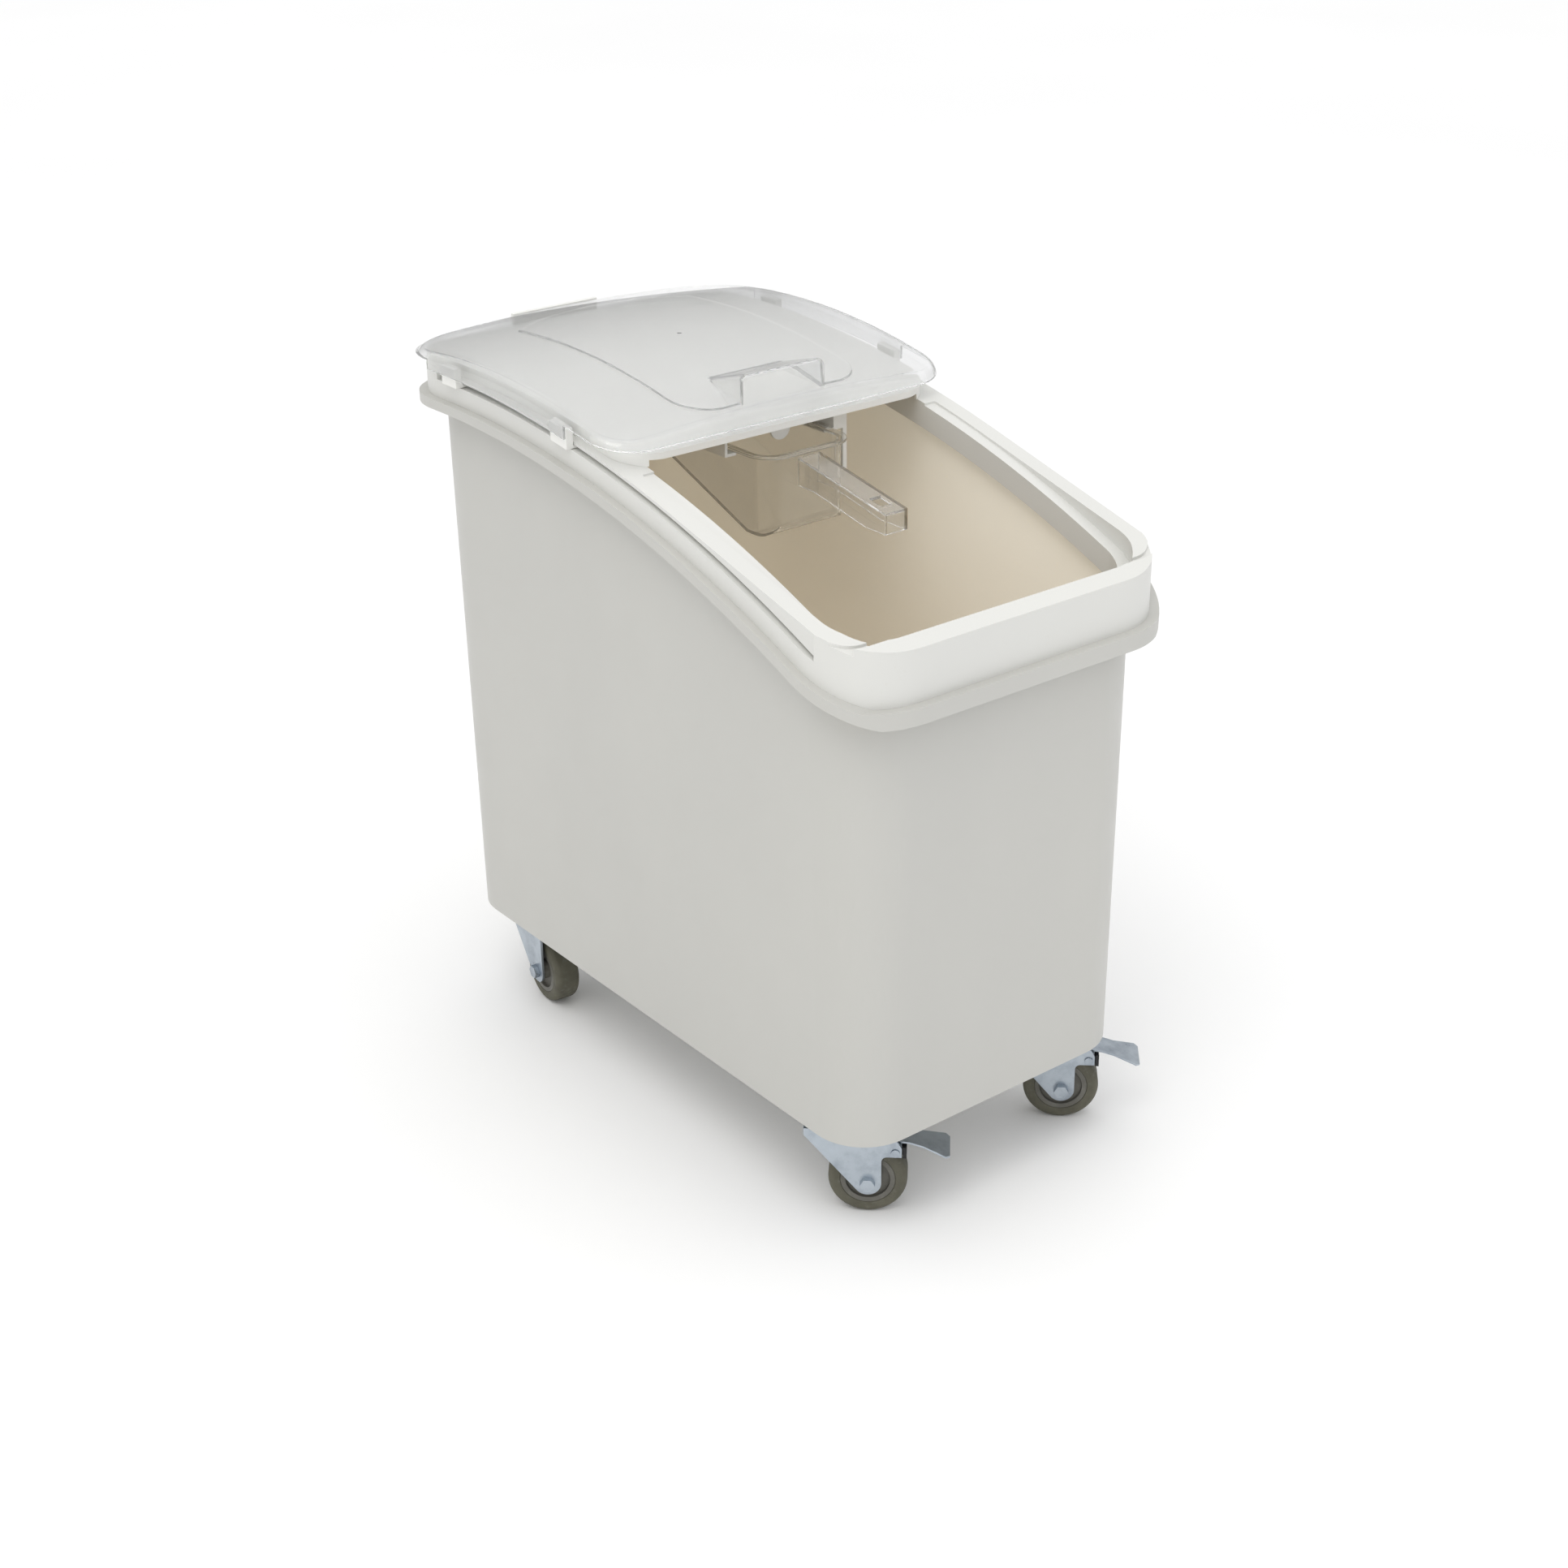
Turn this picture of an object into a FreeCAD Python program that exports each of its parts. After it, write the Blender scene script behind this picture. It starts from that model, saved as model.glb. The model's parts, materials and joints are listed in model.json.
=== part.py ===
import FreeCAD, Part
import math
import os
import re
import Sketcher

# A slant-top food bin on four swivel casters, in millimetres.
# +X is the bin's right, -Y its front, +Z up. The origin is on the floor under the middle of the tub.
# The mouth of the tub, the collar on it, the deck and the sliding lid all follow arcs about one
# axis, parallel to X, far below the floor: the slide axis. The lid travels by turning about it.

DIMENSIONS = {
    # slide axis, and radii of the concentric surfaces about it
    "slide_y": 245.0,
    "slide_z": -695.5,
    "lip_skirt_rad": 1369.0,
    "lip_under_rad": 1375.5,
    "lip_top_rad": 1379.0,
    "ledge_under_rad": 1394.0,
    "ledge_rad": 1397.0,
    "overhang_rad": 1401.0,
    "collar_top_rad": 1404.0,
    "deck_front_rad": 1410.0,
    "deck_under_rad": 1413.0,
    "deck_top_rad": 1416.0,
    "lid_side_rad": 1408.0,
    "lid_front_rad": 1421.0,
    "lid_rear_rad": 1417.3,
    "seat_floor_rad": 1418.0,
    "seat_rad": 1420.4,
    # tub
    "tub_floor_z": 106.6,
    "tub_loft_z": 690.0,
    "tub_foot_width": 346.0,
    "tub_foot_depth": 667.5,
    "tub_foot_corner": 55.0,
    "tub_mouth_width": 358.9,
    "tub_mouth_depth": 679.2,
    "tub_mouth_corner": 69.0,
    "tub_wall": 3.5,
    "tub_base": 4.0,
    "lip_width": 402.6,
    "lip_depth": 725.0,
    "lip_corner": 80.0,
    "lip_skirt": 3.0,
    "lip_front_z": 552.5,
    "lip_front_under_z": 549.0,
    "lip_front_skirt_z": 536.5,
    # collar
    "collar_width": 386.0,
    "collar_depth": 706.0,
    "collar_corner": 72.0,
    "collar_wall": 3.0,
    "mouth_width": 320.0,
    "mouth_front_y": -321.0,
    "mouth_rear_y": 325.0,
    "mouth_corner": 34.0,
    "dish_rad": 1402.0,
    "dish_width": 13.0,
    "dish_rear_y": -36.0,
    "straight_y": -100.0,
    "collar_front_z": 601.3,
    "groove_back_x": 184.0,
    "overhang_x": 190.0,
    "rail_front_y": -300.0,
    "rail_rear_y": 281.0,
    # deck
    "deck_width": 362.0,
    "deck_front_y": -30.0,
    "deck_rear_y": 346.0,
    "deck_corner": 40.0,
    "deck_wall": 3.0,
    # lid
    "lid_width": 402.6,
    "lid_front_y": -32.0,
    "lid_rear_y": 362.5,
    "lid_front_corner": 42.0,
    "lid_rear_corner": 78.0,
    "lid_wall": 2.6,
    "lid_shoulder": 9.0,
    "crown_y": 190.0,
    "lid_top_z": 741.0,
    "lid_bow_rad": 912.0,
    "lid_camber_rad": 2350.0,
    "lid_travel": 12.7,
    "panel_rise": 1.2,
    "panel_width": 210.0,
    "panel_front_y": -19.0,
    "panel_side_y": 270.0,
    "panel_rear_y": 308.0,
    "panel_corner": 40.0,
    "grip_width": 97.0,
    "grip_front_y": -20.5,
    "grip_rear_y": 38.0,
    "grip_rear_z": 728.0,
    "grip_top_z": 744.0,
    "grip_corner": 8.0,
    "grip_foot_z": 716.0,
    "shoe_length": 26.0,
    "shoe_front_y": 46.0,
    "shoe_rear_y": 236.0,
    "shoe_gap": 0.5,
    # lid stop
    "stop_width": 104.0,
    "stop_thick": 5.0,
    "stop_gap": 0.8,
    "stop_foot_z": 688.0,
    "stop_top_z": 725.0,
    # scoop and its hanger
    "scoop_width": 100.0,
    "scoop_rear_wall_y": -57.0,
    "scoop_mouth_y": 150.0,
    "scoop_corner": 22.0,
    "scoop_wall": 2.4,
    "scoop_rim_z": 673.8,
    "scoop_floor_z": 595.0,
    "scoop_bend_y": -25.0,
    "scoop_lip_z": 660.0,
    "rim_flange": 5.5,
    "rim_thick": 2.5,
    "handle_width": 26.0,
    "handle_end_y": -182.0,
    "handle_root_top_z": 668.0,
    "handle_root_z": 640.0,
    "handle_end_top_z": 646.0,
    "handle_end_z": 626.0,
    "foot_tip_x": 53.0,
    "foot_x": 66.0,
    "foot_top_z": 671.0,
    "foot_thick": 3.0,
    "hanger_front_y": -16.0,
    "hanger_rear_y": 62.0,
    "hanger_bar_z": 684.0,
    "tab_rad": 11.5,
    "tab_drop_z": 672.0,
    "leg_x": 80.0,
    "leg_z": 627.0,
    # casters, each in its own frame: swivel axis at the origin, wheel trailing towards +X
    "caster_x": 126.0,
    "caster_y": 261.0,
    "trail": 22.0,
    "wheel_rad": 37.5,
    "wheel_width": 28.0,
    "tyre_shoulder": 6.0,
    "hub_rad": 26.0,
    "hub_width": 27.0,
    "hub_dish": 4.0,
    "hub_dish_rad": 21.0,
    "hub_boss_rad": 11.0,
    "hub_boss_width": 34.0,
    "bush_rad": 6.0,
    "axle_rad": 4.0,
    "running_gap": 0.06,
    "plate_width": 64.0,
    "plate_depth": 84.0,
    "plate_thick": 3.0,
    "bolt_x": 22.0,
    "bolt_y": 32.0,
    "bolt_rad": 4.0,
    "bolt_hole_rad": 4.25,
    "race_rad": 22.0,
    "race_z": 102.1,
    "ball_rad": 2.45,
    "ball_pitch_rad": 17.0,
    "ball_z": 99.6,
    "crown_z": 97.1,
    "sheet": 3.0,
    "kingpin_rad": 6.0,
    "kingpin_head_rad": 10.0,
    "kingpin_head": 4.2,
    "fork_inner": 17.5,
    "fork_lead": 38.0,
    "fork_lead_z": 90.0,
    "fork_boss_rad": 13.0,
    "fork_boss_angle": 219.5,
    "fork_arm_z": 67.0,
    "fork_arm_x": 54.0,
    "fork_arm_top_z": 77.0,
    "fork_tail_x": 42.0,
    "fork_notch_rad": 5.0,
    "hex_rad": 7.4,
    "hex_height": 5.5,
    # brake, in the same frame
    "brake_x": 48.0,
    "brake_z": 72.0,
    "brake_pin_rad": 2.5,
    "rivet_rad": 4.2,
    "rivet_head": 1.4,
    "pedal_thick": 2.0,
    "pedal_neck": 27.0,
    "pedal_tail": 40.0,
    "pedal_start_x": 42.0,
    "pedal_knee_x": 61.0,
    "pedal_flare_x": 74.0,
    "pedal_end_x": 99.0,
    "pedal_start_z": 82.0,
    "pedal_knee_z": 80.0,
    "pedal_end_z": 68.0,
    "ear_rad": 6.0,
    "ear_thick": 2.0,
    "shoe_width": 22.0,
    "strip_width": 34.0,
    "strip_x": 55.0,
    "strip_thick": 3.5,
    "strip_low_z": 64.0,
    "strip_high_z": 76.0,
}

REACH = 900.0  # longer than any cut has to be
LOW = -750.0  # below the slide axis
CASTERS = {"fl": (-1, -1, -42.0), "fr": (1, -1, -42.0), "rl": (-1, 1, -96.0), "rr": (1, 1, -63.0)}
BRAKED = ("fl", "fr")

doc = FreeCAD.newDocument("food_bin")
sheet = doc.addObject("Spreadsheet::Sheet", "dims")
for row, (alias, number) in enumerate(DIMENSIONS.items(), start=1):
    sheet.set(f"A{row}", alias)
    sheet.set(f"B{row}", str(number))
    sheet.setAlias(f"B{row}", alias)
doc.recompute()

parts = []


# ---------------------------------------------------------------- expressions and placement


def bind(expression):
    """The expression with each name of a dimension turned into a reference to the sheet."""
    return re.sub(
        r"[a-z]\w*",
        lambda word: "dims." + word.group() if word.group() in DIMENSIONS else word.group(),
        str(expression),
    )


def value(expression):
    """What an expression over the sheet is worth now."""
    return float(sheet.evalExpression(bind(expression)))


def drive(obj, **sizes):
    """Bind properties of an object to expressions over the sheet."""
    for name, expression in sizes.items():
        obj.setExpression(name, bind(expression))


def place(obj, x="0", y="0", z="0"):
    """Bind an object's position."""
    for axis, expression in zip("xyz", (x, y, z)):
        obj.setExpression(f"Placement.Base.{axis}", bind(expression))
    return obj


def keep(obj, node):
    """Name an object as a finished sub-part."""
    obj.Label = node
    parts.append(obj)
    return obj


# ---------------------------------------------------------------- solids and booleans


def box(name, x, y, z):
    """A box between two expressions on each axis."""
    solid = doc.addObject("Part::Box", name)
    drive(solid, Length=f"({x[1]}) - ({x[0]})", Width=f"({y[1]}) - ({y[0]})", Height=f"({z[1]}) - ({z[0]})")
    return place(solid, x[0], y[0], z[0])


def rod(name, axis, radius, length, x="0", y="0", z="0"):
    """A cylinder that starts at a point and runs along an axis."""
    solid = doc.addObject("Part::Cylinder", name)
    drive(solid, Radius=radius, Height=length)
    turns = {"x": (0, 90, 0), "y": (0, 0, -90), "z": (0, 0, 0)}
    solid.Placement.Rotation = FreeCAD.Rotation(*turns[axis])
    return place(solid, x, y, z)


def join(name, *solids):
    """One solid, or one group of separate solids, from several."""
    fused = doc.addObject("Part::MultiFuse", name)
    fused.Shapes = list(solids)
    return fused


def cut(name, base, *tools):
    """The base with every tool taken away."""
    tool = tools[0] if len(tools) == 1 else join(name + "_tools", *tools)
    result = doc.addObject("Part::Cut", name)
    result.Base, result.Tool = base, tool
    return result


def common(name, *solids):
    """What all the solids share."""
    result = doc.addObject("Part::MultiCommon", name)
    result.Shapes = list(solids)
    return result


# ---------------------------------------------------------------- sketched bodies


def origin_plane(body, role):
    """One of a body's own origin planes, such as XY_Plane."""
    return next(feature for feature in body.Origin.OriginFeatures if feature.Role == role)


def sketch_on(body, role, name, offset="0"):
    """An empty sketch on one of the body's origin planes, shifted along the plane's normal."""
    sketch = body.newObject("Sketcher::SketchObject", name)
    sketch.AttachmentSupport = [(origin_plane(body, role), "")]
    sketch.MapMode = "FlatFace"
    sketch.setExpression("AttachmentOffset.Base.z", bind(offset))
    return sketch


def outline(sketch, corners):
    """Draw a closed outline through (x, y[, radius[, side]]) corners.

    A corner with a radius starts an arc to the next corner; side is +1 where the arc's centre lies on
    the left of the way to that corner, and -1 where it lies on the right. Each coordinate and radius is
    an expression, and becomes a driven constraint.
    """
    points = [FreeCAD.Vector(value(c[0]), value(c[1]), 0) for c in corners]
    edges = []
    for index, corner in enumerate(corners):
        start, end = points[index], points[(index + 1) % len(points)]
        if len(corner) < 3:
            edges.append(sketch.addGeometry(Part.LineSegment(start, end)))
            continue
        radius, side = value(corner[2]), corner[3]
        chord = end - start
        rise = math.sqrt(max(radius**2 - (chord.Length / 2) ** 2, 0.0))
        normal = FreeCAD.Vector(-chord.y, chord.x, 0).normalize() * side
        centre = (start + end) * 0.5 + normal * rise
        middle = centre - normal * radius
        edges.append(sketch.addGeometry(Part.Arc(start, middle, end)))
    starts = []
    for index, corner in enumerate(corners):
        turned = len(corner) == 4 and corner[3] < 0
        starts.append(2 if turned else 1)
    for index, corner in enumerate(corners):
        last = index - 1
        tail = 3 - starts[last]
        meeting = Sketcher.Constraint("Coincident", edges[last], tail, edges[index], starts[index])
        sketch.addConstraint(meeting)
        pin_point(sketch, edges[index], starts[index], corner[0], corner[1])
        if len(corner) > 2:
            number = sketch.addConstraint(Sketcher.Constraint("Radius", edges[index], value(corner[2])))
            sketch.setExpression(f"Constraints[{number}]", bind(corner[2]))


def pin_point(sketch, edge, end, x, y):
    """Fix a point of an edge by two driven distances from the sketch's origin."""
    for kind, expression in (("DistanceX", x), ("DistanceY", y)):
        number = sketch.addConstraint(Sketcher.Constraint(kind, -1, 1, edge, end, value(expression)))
        sketch.setExpression(f"Constraints[{number}]", bind(expression))


def ring(sketch, width, front, rear, corner, rear_corner=None):
    """Draw a rounded rectangle, centred on X = 0, from the front edge to the rear edge."""
    x, r = f"({width}) / 2", corner
    q = corner if rear_corner is None else rear_corner
    outline(
        sketch,
        [
            (f"-({x})", f"({front}) + ({r})", r, 1),
            (f"-({x}) + ({r})", front),
            (f"{x} - ({r})", front, r, 1),
            (x, f"({front}) + ({r})"),
            (x, f"({rear}) - ({q})", q, 1),
            (f"{x} - ({q})", rear),
            (f"-({x}) + ({q})", rear, q, 1),
            (f"-({x})", f"({rear}) - ({q})"),
        ],
    )


def prism(name, width, front, rear, corner, low, high, rear_corner=None):
    """An upright block with a rounded-rectangle outline, between two heights."""
    body = doc.addObject("PartDesign::Body", name)
    sketch = sketch_on(body, "XY_Plane", name + "_outline", low)
    ring(sketch, width, front, rear, corner, rear_corner)
    pad = body.newObject("PartDesign::Pad", name + "_pad")
    pad.Profile = sketch
    drive(pad, Length=f"({high}) - ({low})")
    return body


def slab(name, role, corners, width):
    """An outline on a body's own plane, thickened evenly to both sides."""
    body = doc.addObject("PartDesign::Body", name)
    sketch = sketch_on(body, role, name + "_outline")
    outline(sketch, corners)
    pad = body.newObject("PartDesign::Pad", name + "_pad")
    pad.Profile = sketch
    pad.SideType = "Symmetric"
    drive(pad, Length=width)
    return body


def turned(name, corners, x, z):
    """A half section, drawn as (along the axle, radius), turned about a line parallel to Y."""
    body = doc.addObject("PartDesign::Body", name)
    sketch = sketch_on(body, "YZ_Plane", name + "_section", x)
    sketch.setExpression("AttachmentOffset.Base.y", bind(z))
    outline(sketch, corners)
    spin = body.newObject("PartDesign::Revolution", name + "_turn")
    spin.Profile = sketch
    spin.ReferenceAxis = (sketch, ["H_Axis"])
    spin.Angle = 360.0
    return body


def below(name, radius, front_level):
    """Everything under an arc about the slide axis, or under the level of the front, whichever is higher."""
    drum = rod(name + "_drum", "x", radius, REACH, -REACH / 2, "slide_y", "slide_z")
    block = box(name + "_front", (-REACH / 2, REACH / 2), (-REACH / 2, REACH / 2), (LOW, front_level))
    return join(name, drum, block)


def drum(name, radius):
    """Everything inside a radius about the slide axis."""
    return rod(name, "x", radius, REACH, -REACH / 2, "slide_y", "slide_z")


# ---------------------------------------------------------------- tub


def loft(name, foot, mouth, low):
    """A tapered block between two rounded rectangles: each is (width, depth, corner)."""
    body = doc.addObject("PartDesign::Body", name)
    sections = []
    for label, (width, depth, corner), height in (("foot", foot, low), ("mouth", mouth, "tub_loft_z")):
        sketch = sketch_on(body, "XY_Plane", f"{name}_{label}", height)
        ring(sketch, width, f"-({depth}) / 2", f"({depth}) / 2", corner)
        sections.append(sketch)
    shape = body.newObject("PartDesign::AdditiveLoft", name + "_loft")
    shape.Profile = sections[0]
    shape.Sections = [sections[1]]
    shape.Ruled = True
    return body


def shrunk(width, depth, corner, wall):
    """The three sizes of a rounded rectangle, moved inward by a wall."""
    return f"{width} - 2 * {wall}", f"{depth} - 2 * {wall}", f"{corner} - {wall}"


def make_tub():
    foot = ("tub_foot_width", "tub_foot_depth", "tub_foot_corner")
    mouth = ("tub_mouth_width", "tub_mouth_depth", "tub_mouth_corner")
    outside = loft("tub_outside", foot, mouth, "tub_floor_z")
    inside = loft(
        "tub_inside", shrunk(*foot, "tub_wall"), shrunk(*mouth, "tub_wall"), "tub_floor_z + tub_base"
    )
    lip = prism("lip_block", "lip_width", "-lip_depth / 2", "lip_depth / 2", "lip_corner", "lip_front_skirt_z",
                "tub_loft_z")
    lip_skirt = cut("lip_above_skirt", lip, below("under_skirt", "lip_skirt_rad", "lip_front_skirt_z"))
    width, depth, corner = shrunk("lip_width", "lip_depth", "lip_corner", "lip_skirt")
    hollow = prism("lip_hollow_block", width, f"-({depth}) / 2", f"({depth}) / 2", corner, 500, "tub_loft_z")
    under = common("lip_hollow", hollow, below("under_lip", "lip_under_rad", "lip_front_under_z"))
    rim = cut("lip_ring", lip_skirt, under)
    whole = join("tub_whole", outside, rim)
    trimmed = common("tub_trimmed", whole, below("under_mouth", "lip_top_rad", "lip_front_z"))
    holes = join("tub_bolt_holes", *[hole for corner in CASTERS for hole in bolt_rods(corner, "hole",
                 "bolt_hole_rad", "tub_floor_z - 1", "tub_base + 2")])
    keep(cut("tub_node", trimmed, inside, holes), "tub")


# ---------------------------------------------------------------- collar, deck and lid stop


def make_collar():
    """A frame on the tub's lip, hollow underneath, with a guide groove along each side."""
    block = prism("collar_block", "collar_width", "-collar_depth / 2", "collar_depth / 2", "collar_corner",
                  520, "tub_loft_z + 20")
    slope_z = "slide_z + sqrt(collar_top_rad ^ 2 - (slide_y - straight_y) ^ 2)"
    rear_z = "slide_z + sqrt(collar_top_rad ^ 2 - (380 - slide_y) ^ 2)"
    top = slab(
        "collar_top",
        "YZ_Plane",
        [
            ("-collar_depth / 2 - 10", "450"),
            ("380", "450"),
            ("380", rear_z, "collar_top_rad", 1),
            ("straight_y", slope_z),
            ("-collar_depth / 2", "collar_front_z"),
            ("-collar_depth / 2 - 10", "collar_front_z"),
        ],
        500,
    )
    body = common("collar_shaped", block, top)
    seat = below("collar_seat", "lip_top_rad", "lip_front_z")
    mouth = prism("collar_mouth", "mouth_width", "mouth_front_y", "mouth_rear_y", "mouth_corner", 500, 760)
    groove_y = ("rail_front_y", "rail_rear_y")
    cuts = [seat, mouth]
    for side, name in ((-1, "left"), (1, "right")):
        for level, floor_x, low, high in (
            ("groove", "groove_back_x", "ledge_rad", "overhang_rad"),
            ("edge", "overhang_x", "ledge_rad", "collar_top_rad + 40"),
        ):
            near, far = (floor_x, 250) if side > 0 else (-250, f"-{floor_x}")
            bar = box(f"{level}_bar_{name}", (near, far), groove_y, (300, 800))
            ring_low = common(f"{level}_outer_{name}", bar, drum(f"{level}_high_{name}", high))
            cuts.append(cut(f"{level}_{name}", ring_low, drum(f"{level}_low_{name}", low)))
    hollow_low = channel("collar_hollow_low", "collar_width", "-collar_depth / 2", "collar_depth / 2",
                         "collar_corner", "collar_wall", "ledge_under_rad", "lip_front_z")
    hollow_high = channel("collar_hollow_high", "2 * groove_back_x", "-collar_depth / 2 + 10",
                          "collar_depth / 2 - 10", "collar_corner - 9", "collar_wall", "overhang_rad",
                          "collar_front_z - 8")
    dish = cut("collar_dish", dish_zone("dish", "dish_width"), drum("dish_floor", "dish_rad"))
    roof_zone = dish_zone("roof", "dish_width + collar_wall")
    roof = cut("dish_roof", roof_zone, drum("roof_floor", "dish_rad - collar_wall"))
    hollow = cut("collar_hollow", join("collar_hollows", hollow_low, hollow_high), roof)
    keep(cut("collar_node", body, *cuts, hollow, dish, lid_seat()), "collar")


def dish_zone(name, width):
    """A block around the open part of the mouth, reaching a width beyond its edge."""
    return prism(name + "_zone", f"mouth_width + 2 * ({width})", f"mouth_front_y - ({width})", "dish_rear_y",
                 f"mouth_corner + {width}", 500, 760, "2")


def channel(name, width, front, rear, corner, wall, radius, front_level):
    """The space under the collar's top, between its outer wall and the wall around the mouth."""
    outer = prism(name + "_outer", f"{width} - 2 * {wall}", f"{front} + {wall}", f"{rear} - {wall}",
                  f"{corner} - {wall}", 500, 760)
    inner = prism(name + "_inner", f"mouth_width + 2 * {wall}", f"mouth_front_y - {wall}",
                  f"mouth_rear_y + {wall}", f"mouth_corner + {wall}", 500, 760)
    under = below(name + "_level", radius, front_level)
    return common(name, cut(name + "_ring", outer, inner), under)


def closed_y(y, radius):
    """Where a point of the lid at this Y comes to when the lid is shut."""
    return f"slide_y - ({radius}) * sin(asin((slide_y - ({y})) / ({radius})) + lid_travel * 1 deg)"


def lid_seat():
    """Room for the lid's front end when it is shut, with a groove under its edge."""
    front = closed_y("lid_front_y", "lid_front_rad")
    outer = prism(
        "seat_outer", "lid_width + 2", f"{front} - 1", f"{front} + 200", "lid_front_corner + 1", 500, 760
    )
    inner = prism(
        "seat_inner", "lid_width - 14", f"{front} + 7", f"{front} + 192", "lid_front_corner - 7", 500, 760
    )
    ends = box("seat_front", (-250, 250), (f"{front} - 20", f"{front} + lid_front_corner"), (500, 760))
    band = common("seat_band", cut("seat_frame", outer, inner), ends)
    groove = cut("seat_groove", band, drum("seat_floor", "seat_floor_rad"))
    room = cut("seat_room", outer, drum("seat_level", "seat_rad"))
    return join("seat", groove, room)


def make_deck():
    """A shallow tray, upside down on the collar, closing the rear half of the mouth."""
    outer = prism("deck_outer", "deck_width", "deck_front_y", "deck_rear_y", "deck_corner", 640, 760)
    inner = prism("deck_inner", "deck_width - 2 * deck_wall", "deck_front_y + deck_wall",
                  "deck_rear_y - deck_wall", "deck_corner - deck_wall", 640, 760)
    body = common("deck_body", outer, drum("deck_top", "deck_top_rad"))
    hollow = common("deck_hollow", inner, drum("deck_under", "deck_under_rad"))
    gap = box("deck_gap_box", ("-mouth_width / 2 + 2", "mouth_width / 2 - 2"), ("deck_front_y - 5", "0"),
              (500, 760))
    front = common("deck_gap", gap, drum("deck_gap_drum", "deck_front_rad"))
    keep(cut("deck_node", body, drum("deck_seat", "collar_top_rad"), hollow, front), "rear_deck")


def make_stop():
    """An upright tab on the collar's rear face, behind the open lid."""
    face = "lid_rear_y + stop_gap"
    half = ("-stop_width / 2", "stop_width / 2")
    foot = box("stop_foot", half, ("collar_depth / 2", f"{face} + stop_thick"),
               ("stop_foot_z", "stop_foot_z + stop_thick"))
    upright = box("stop_upright", half, (face, f"{face} + stop_thick"), ("stop_foot_z", "stop_top_z"))
    keep(join("stop_node", foot, upright), "lid_stop")


# ---------------------------------------------------------------- lid


def barrel(name, inset):
    """A drum on the lid's own axis that is bowed along Y and cambered along X; its seam lies below."""
    top = f"lid_bow_rad - ({inset})"
    rim = f"-({top}) + lid_camber_rad - sqrt(lid_camber_rad ^ 2 - 250 ^ 2)"
    body = doc.addObject("PartDesign::Body", name)
    sketch = sketch_on(body, "XZ_Plane", name + "_section")
    outline(sketch, [("250", "0"), ("-250", "0"), ("-250", rim, "lid_camber_rad", 1), ("250", rim)])
    spin = body.newObject("PartDesign::Revolution", name + "_turn")
    spin.Profile = sketch
    spin.ReferenceAxis = (sketch, ["H_Axis"])
    spin.Angle = 360.0
    return place(body, "0", "crown_y", "lid_top_z - lid_bow_rad")


def crown(name, inset, shoulder):
    """The lid's solid shape, moved inward by an inset, with its upper edge rounded."""
    block = prism(name + "_block", f"lid_width - 2 * {inset}", f"lid_front_y + {inset}",
                  f"lid_rear_y - {inset}", f"lid_front_corner - {inset}", 640, 780,
                  f"lid_rear_corner - {inset}")
    body = common(name + "_body", block, barrel(name + "_barrel", inset))
    doc.recompute()
    rounded = doc.addObject("Part::Fillet", name)
    rounded.Base = body
    rounded.Edges = [(number, shoulder, shoulder) for number in upper_edges(body.Shape)]
    return rounded


def upper_edges(shape):
    """The numbers of the edges around a crowned block's top."""
    return [
        number
        for number, edge in enumerate(shape.Edges, start=1)
        if edge.BoundBox.ZMin > 690 and edge.BoundBox.ZMax < 760
    ]


def grip_solid(name, inset):
    """A wedge that rises to an upright front face with two rounded corners; the inset hollows it."""
    top = f"grip_top_z - {inset}"
    side = slab(
        name + "_side",
        "YZ_Plane",
        [
            (f"grip_front_y + {inset}", "grip_foot_z"),
            (f"grip_front_y + {inset}", top),
            (f"grip_front_y + {inset} + 1", top),
            ("grip_rear_y", f"grip_rear_z - {inset}"),
            ("grip_rear_y", "grip_foot_z"),
        ],
        200,
    )
    half, bend = f"grip_width / 2 - {inset}", f"grip_corner - {inset}"
    front = slab(
        name + "_front",
        "XZ_Plane",
        [
            (f"-({half})", "grip_foot_z"),
            (half, "grip_foot_z"),
            (half, f"{top} - ({bend})", bend, 1),
            (f"{half} - ({bend})", top),
            (f"-({half}) + ({bend})", top, bend, 1),
            (f"-({half})", f"{top} - ({bend})"),
        ],
        300,
    )
    return common(name, side, front)


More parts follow.
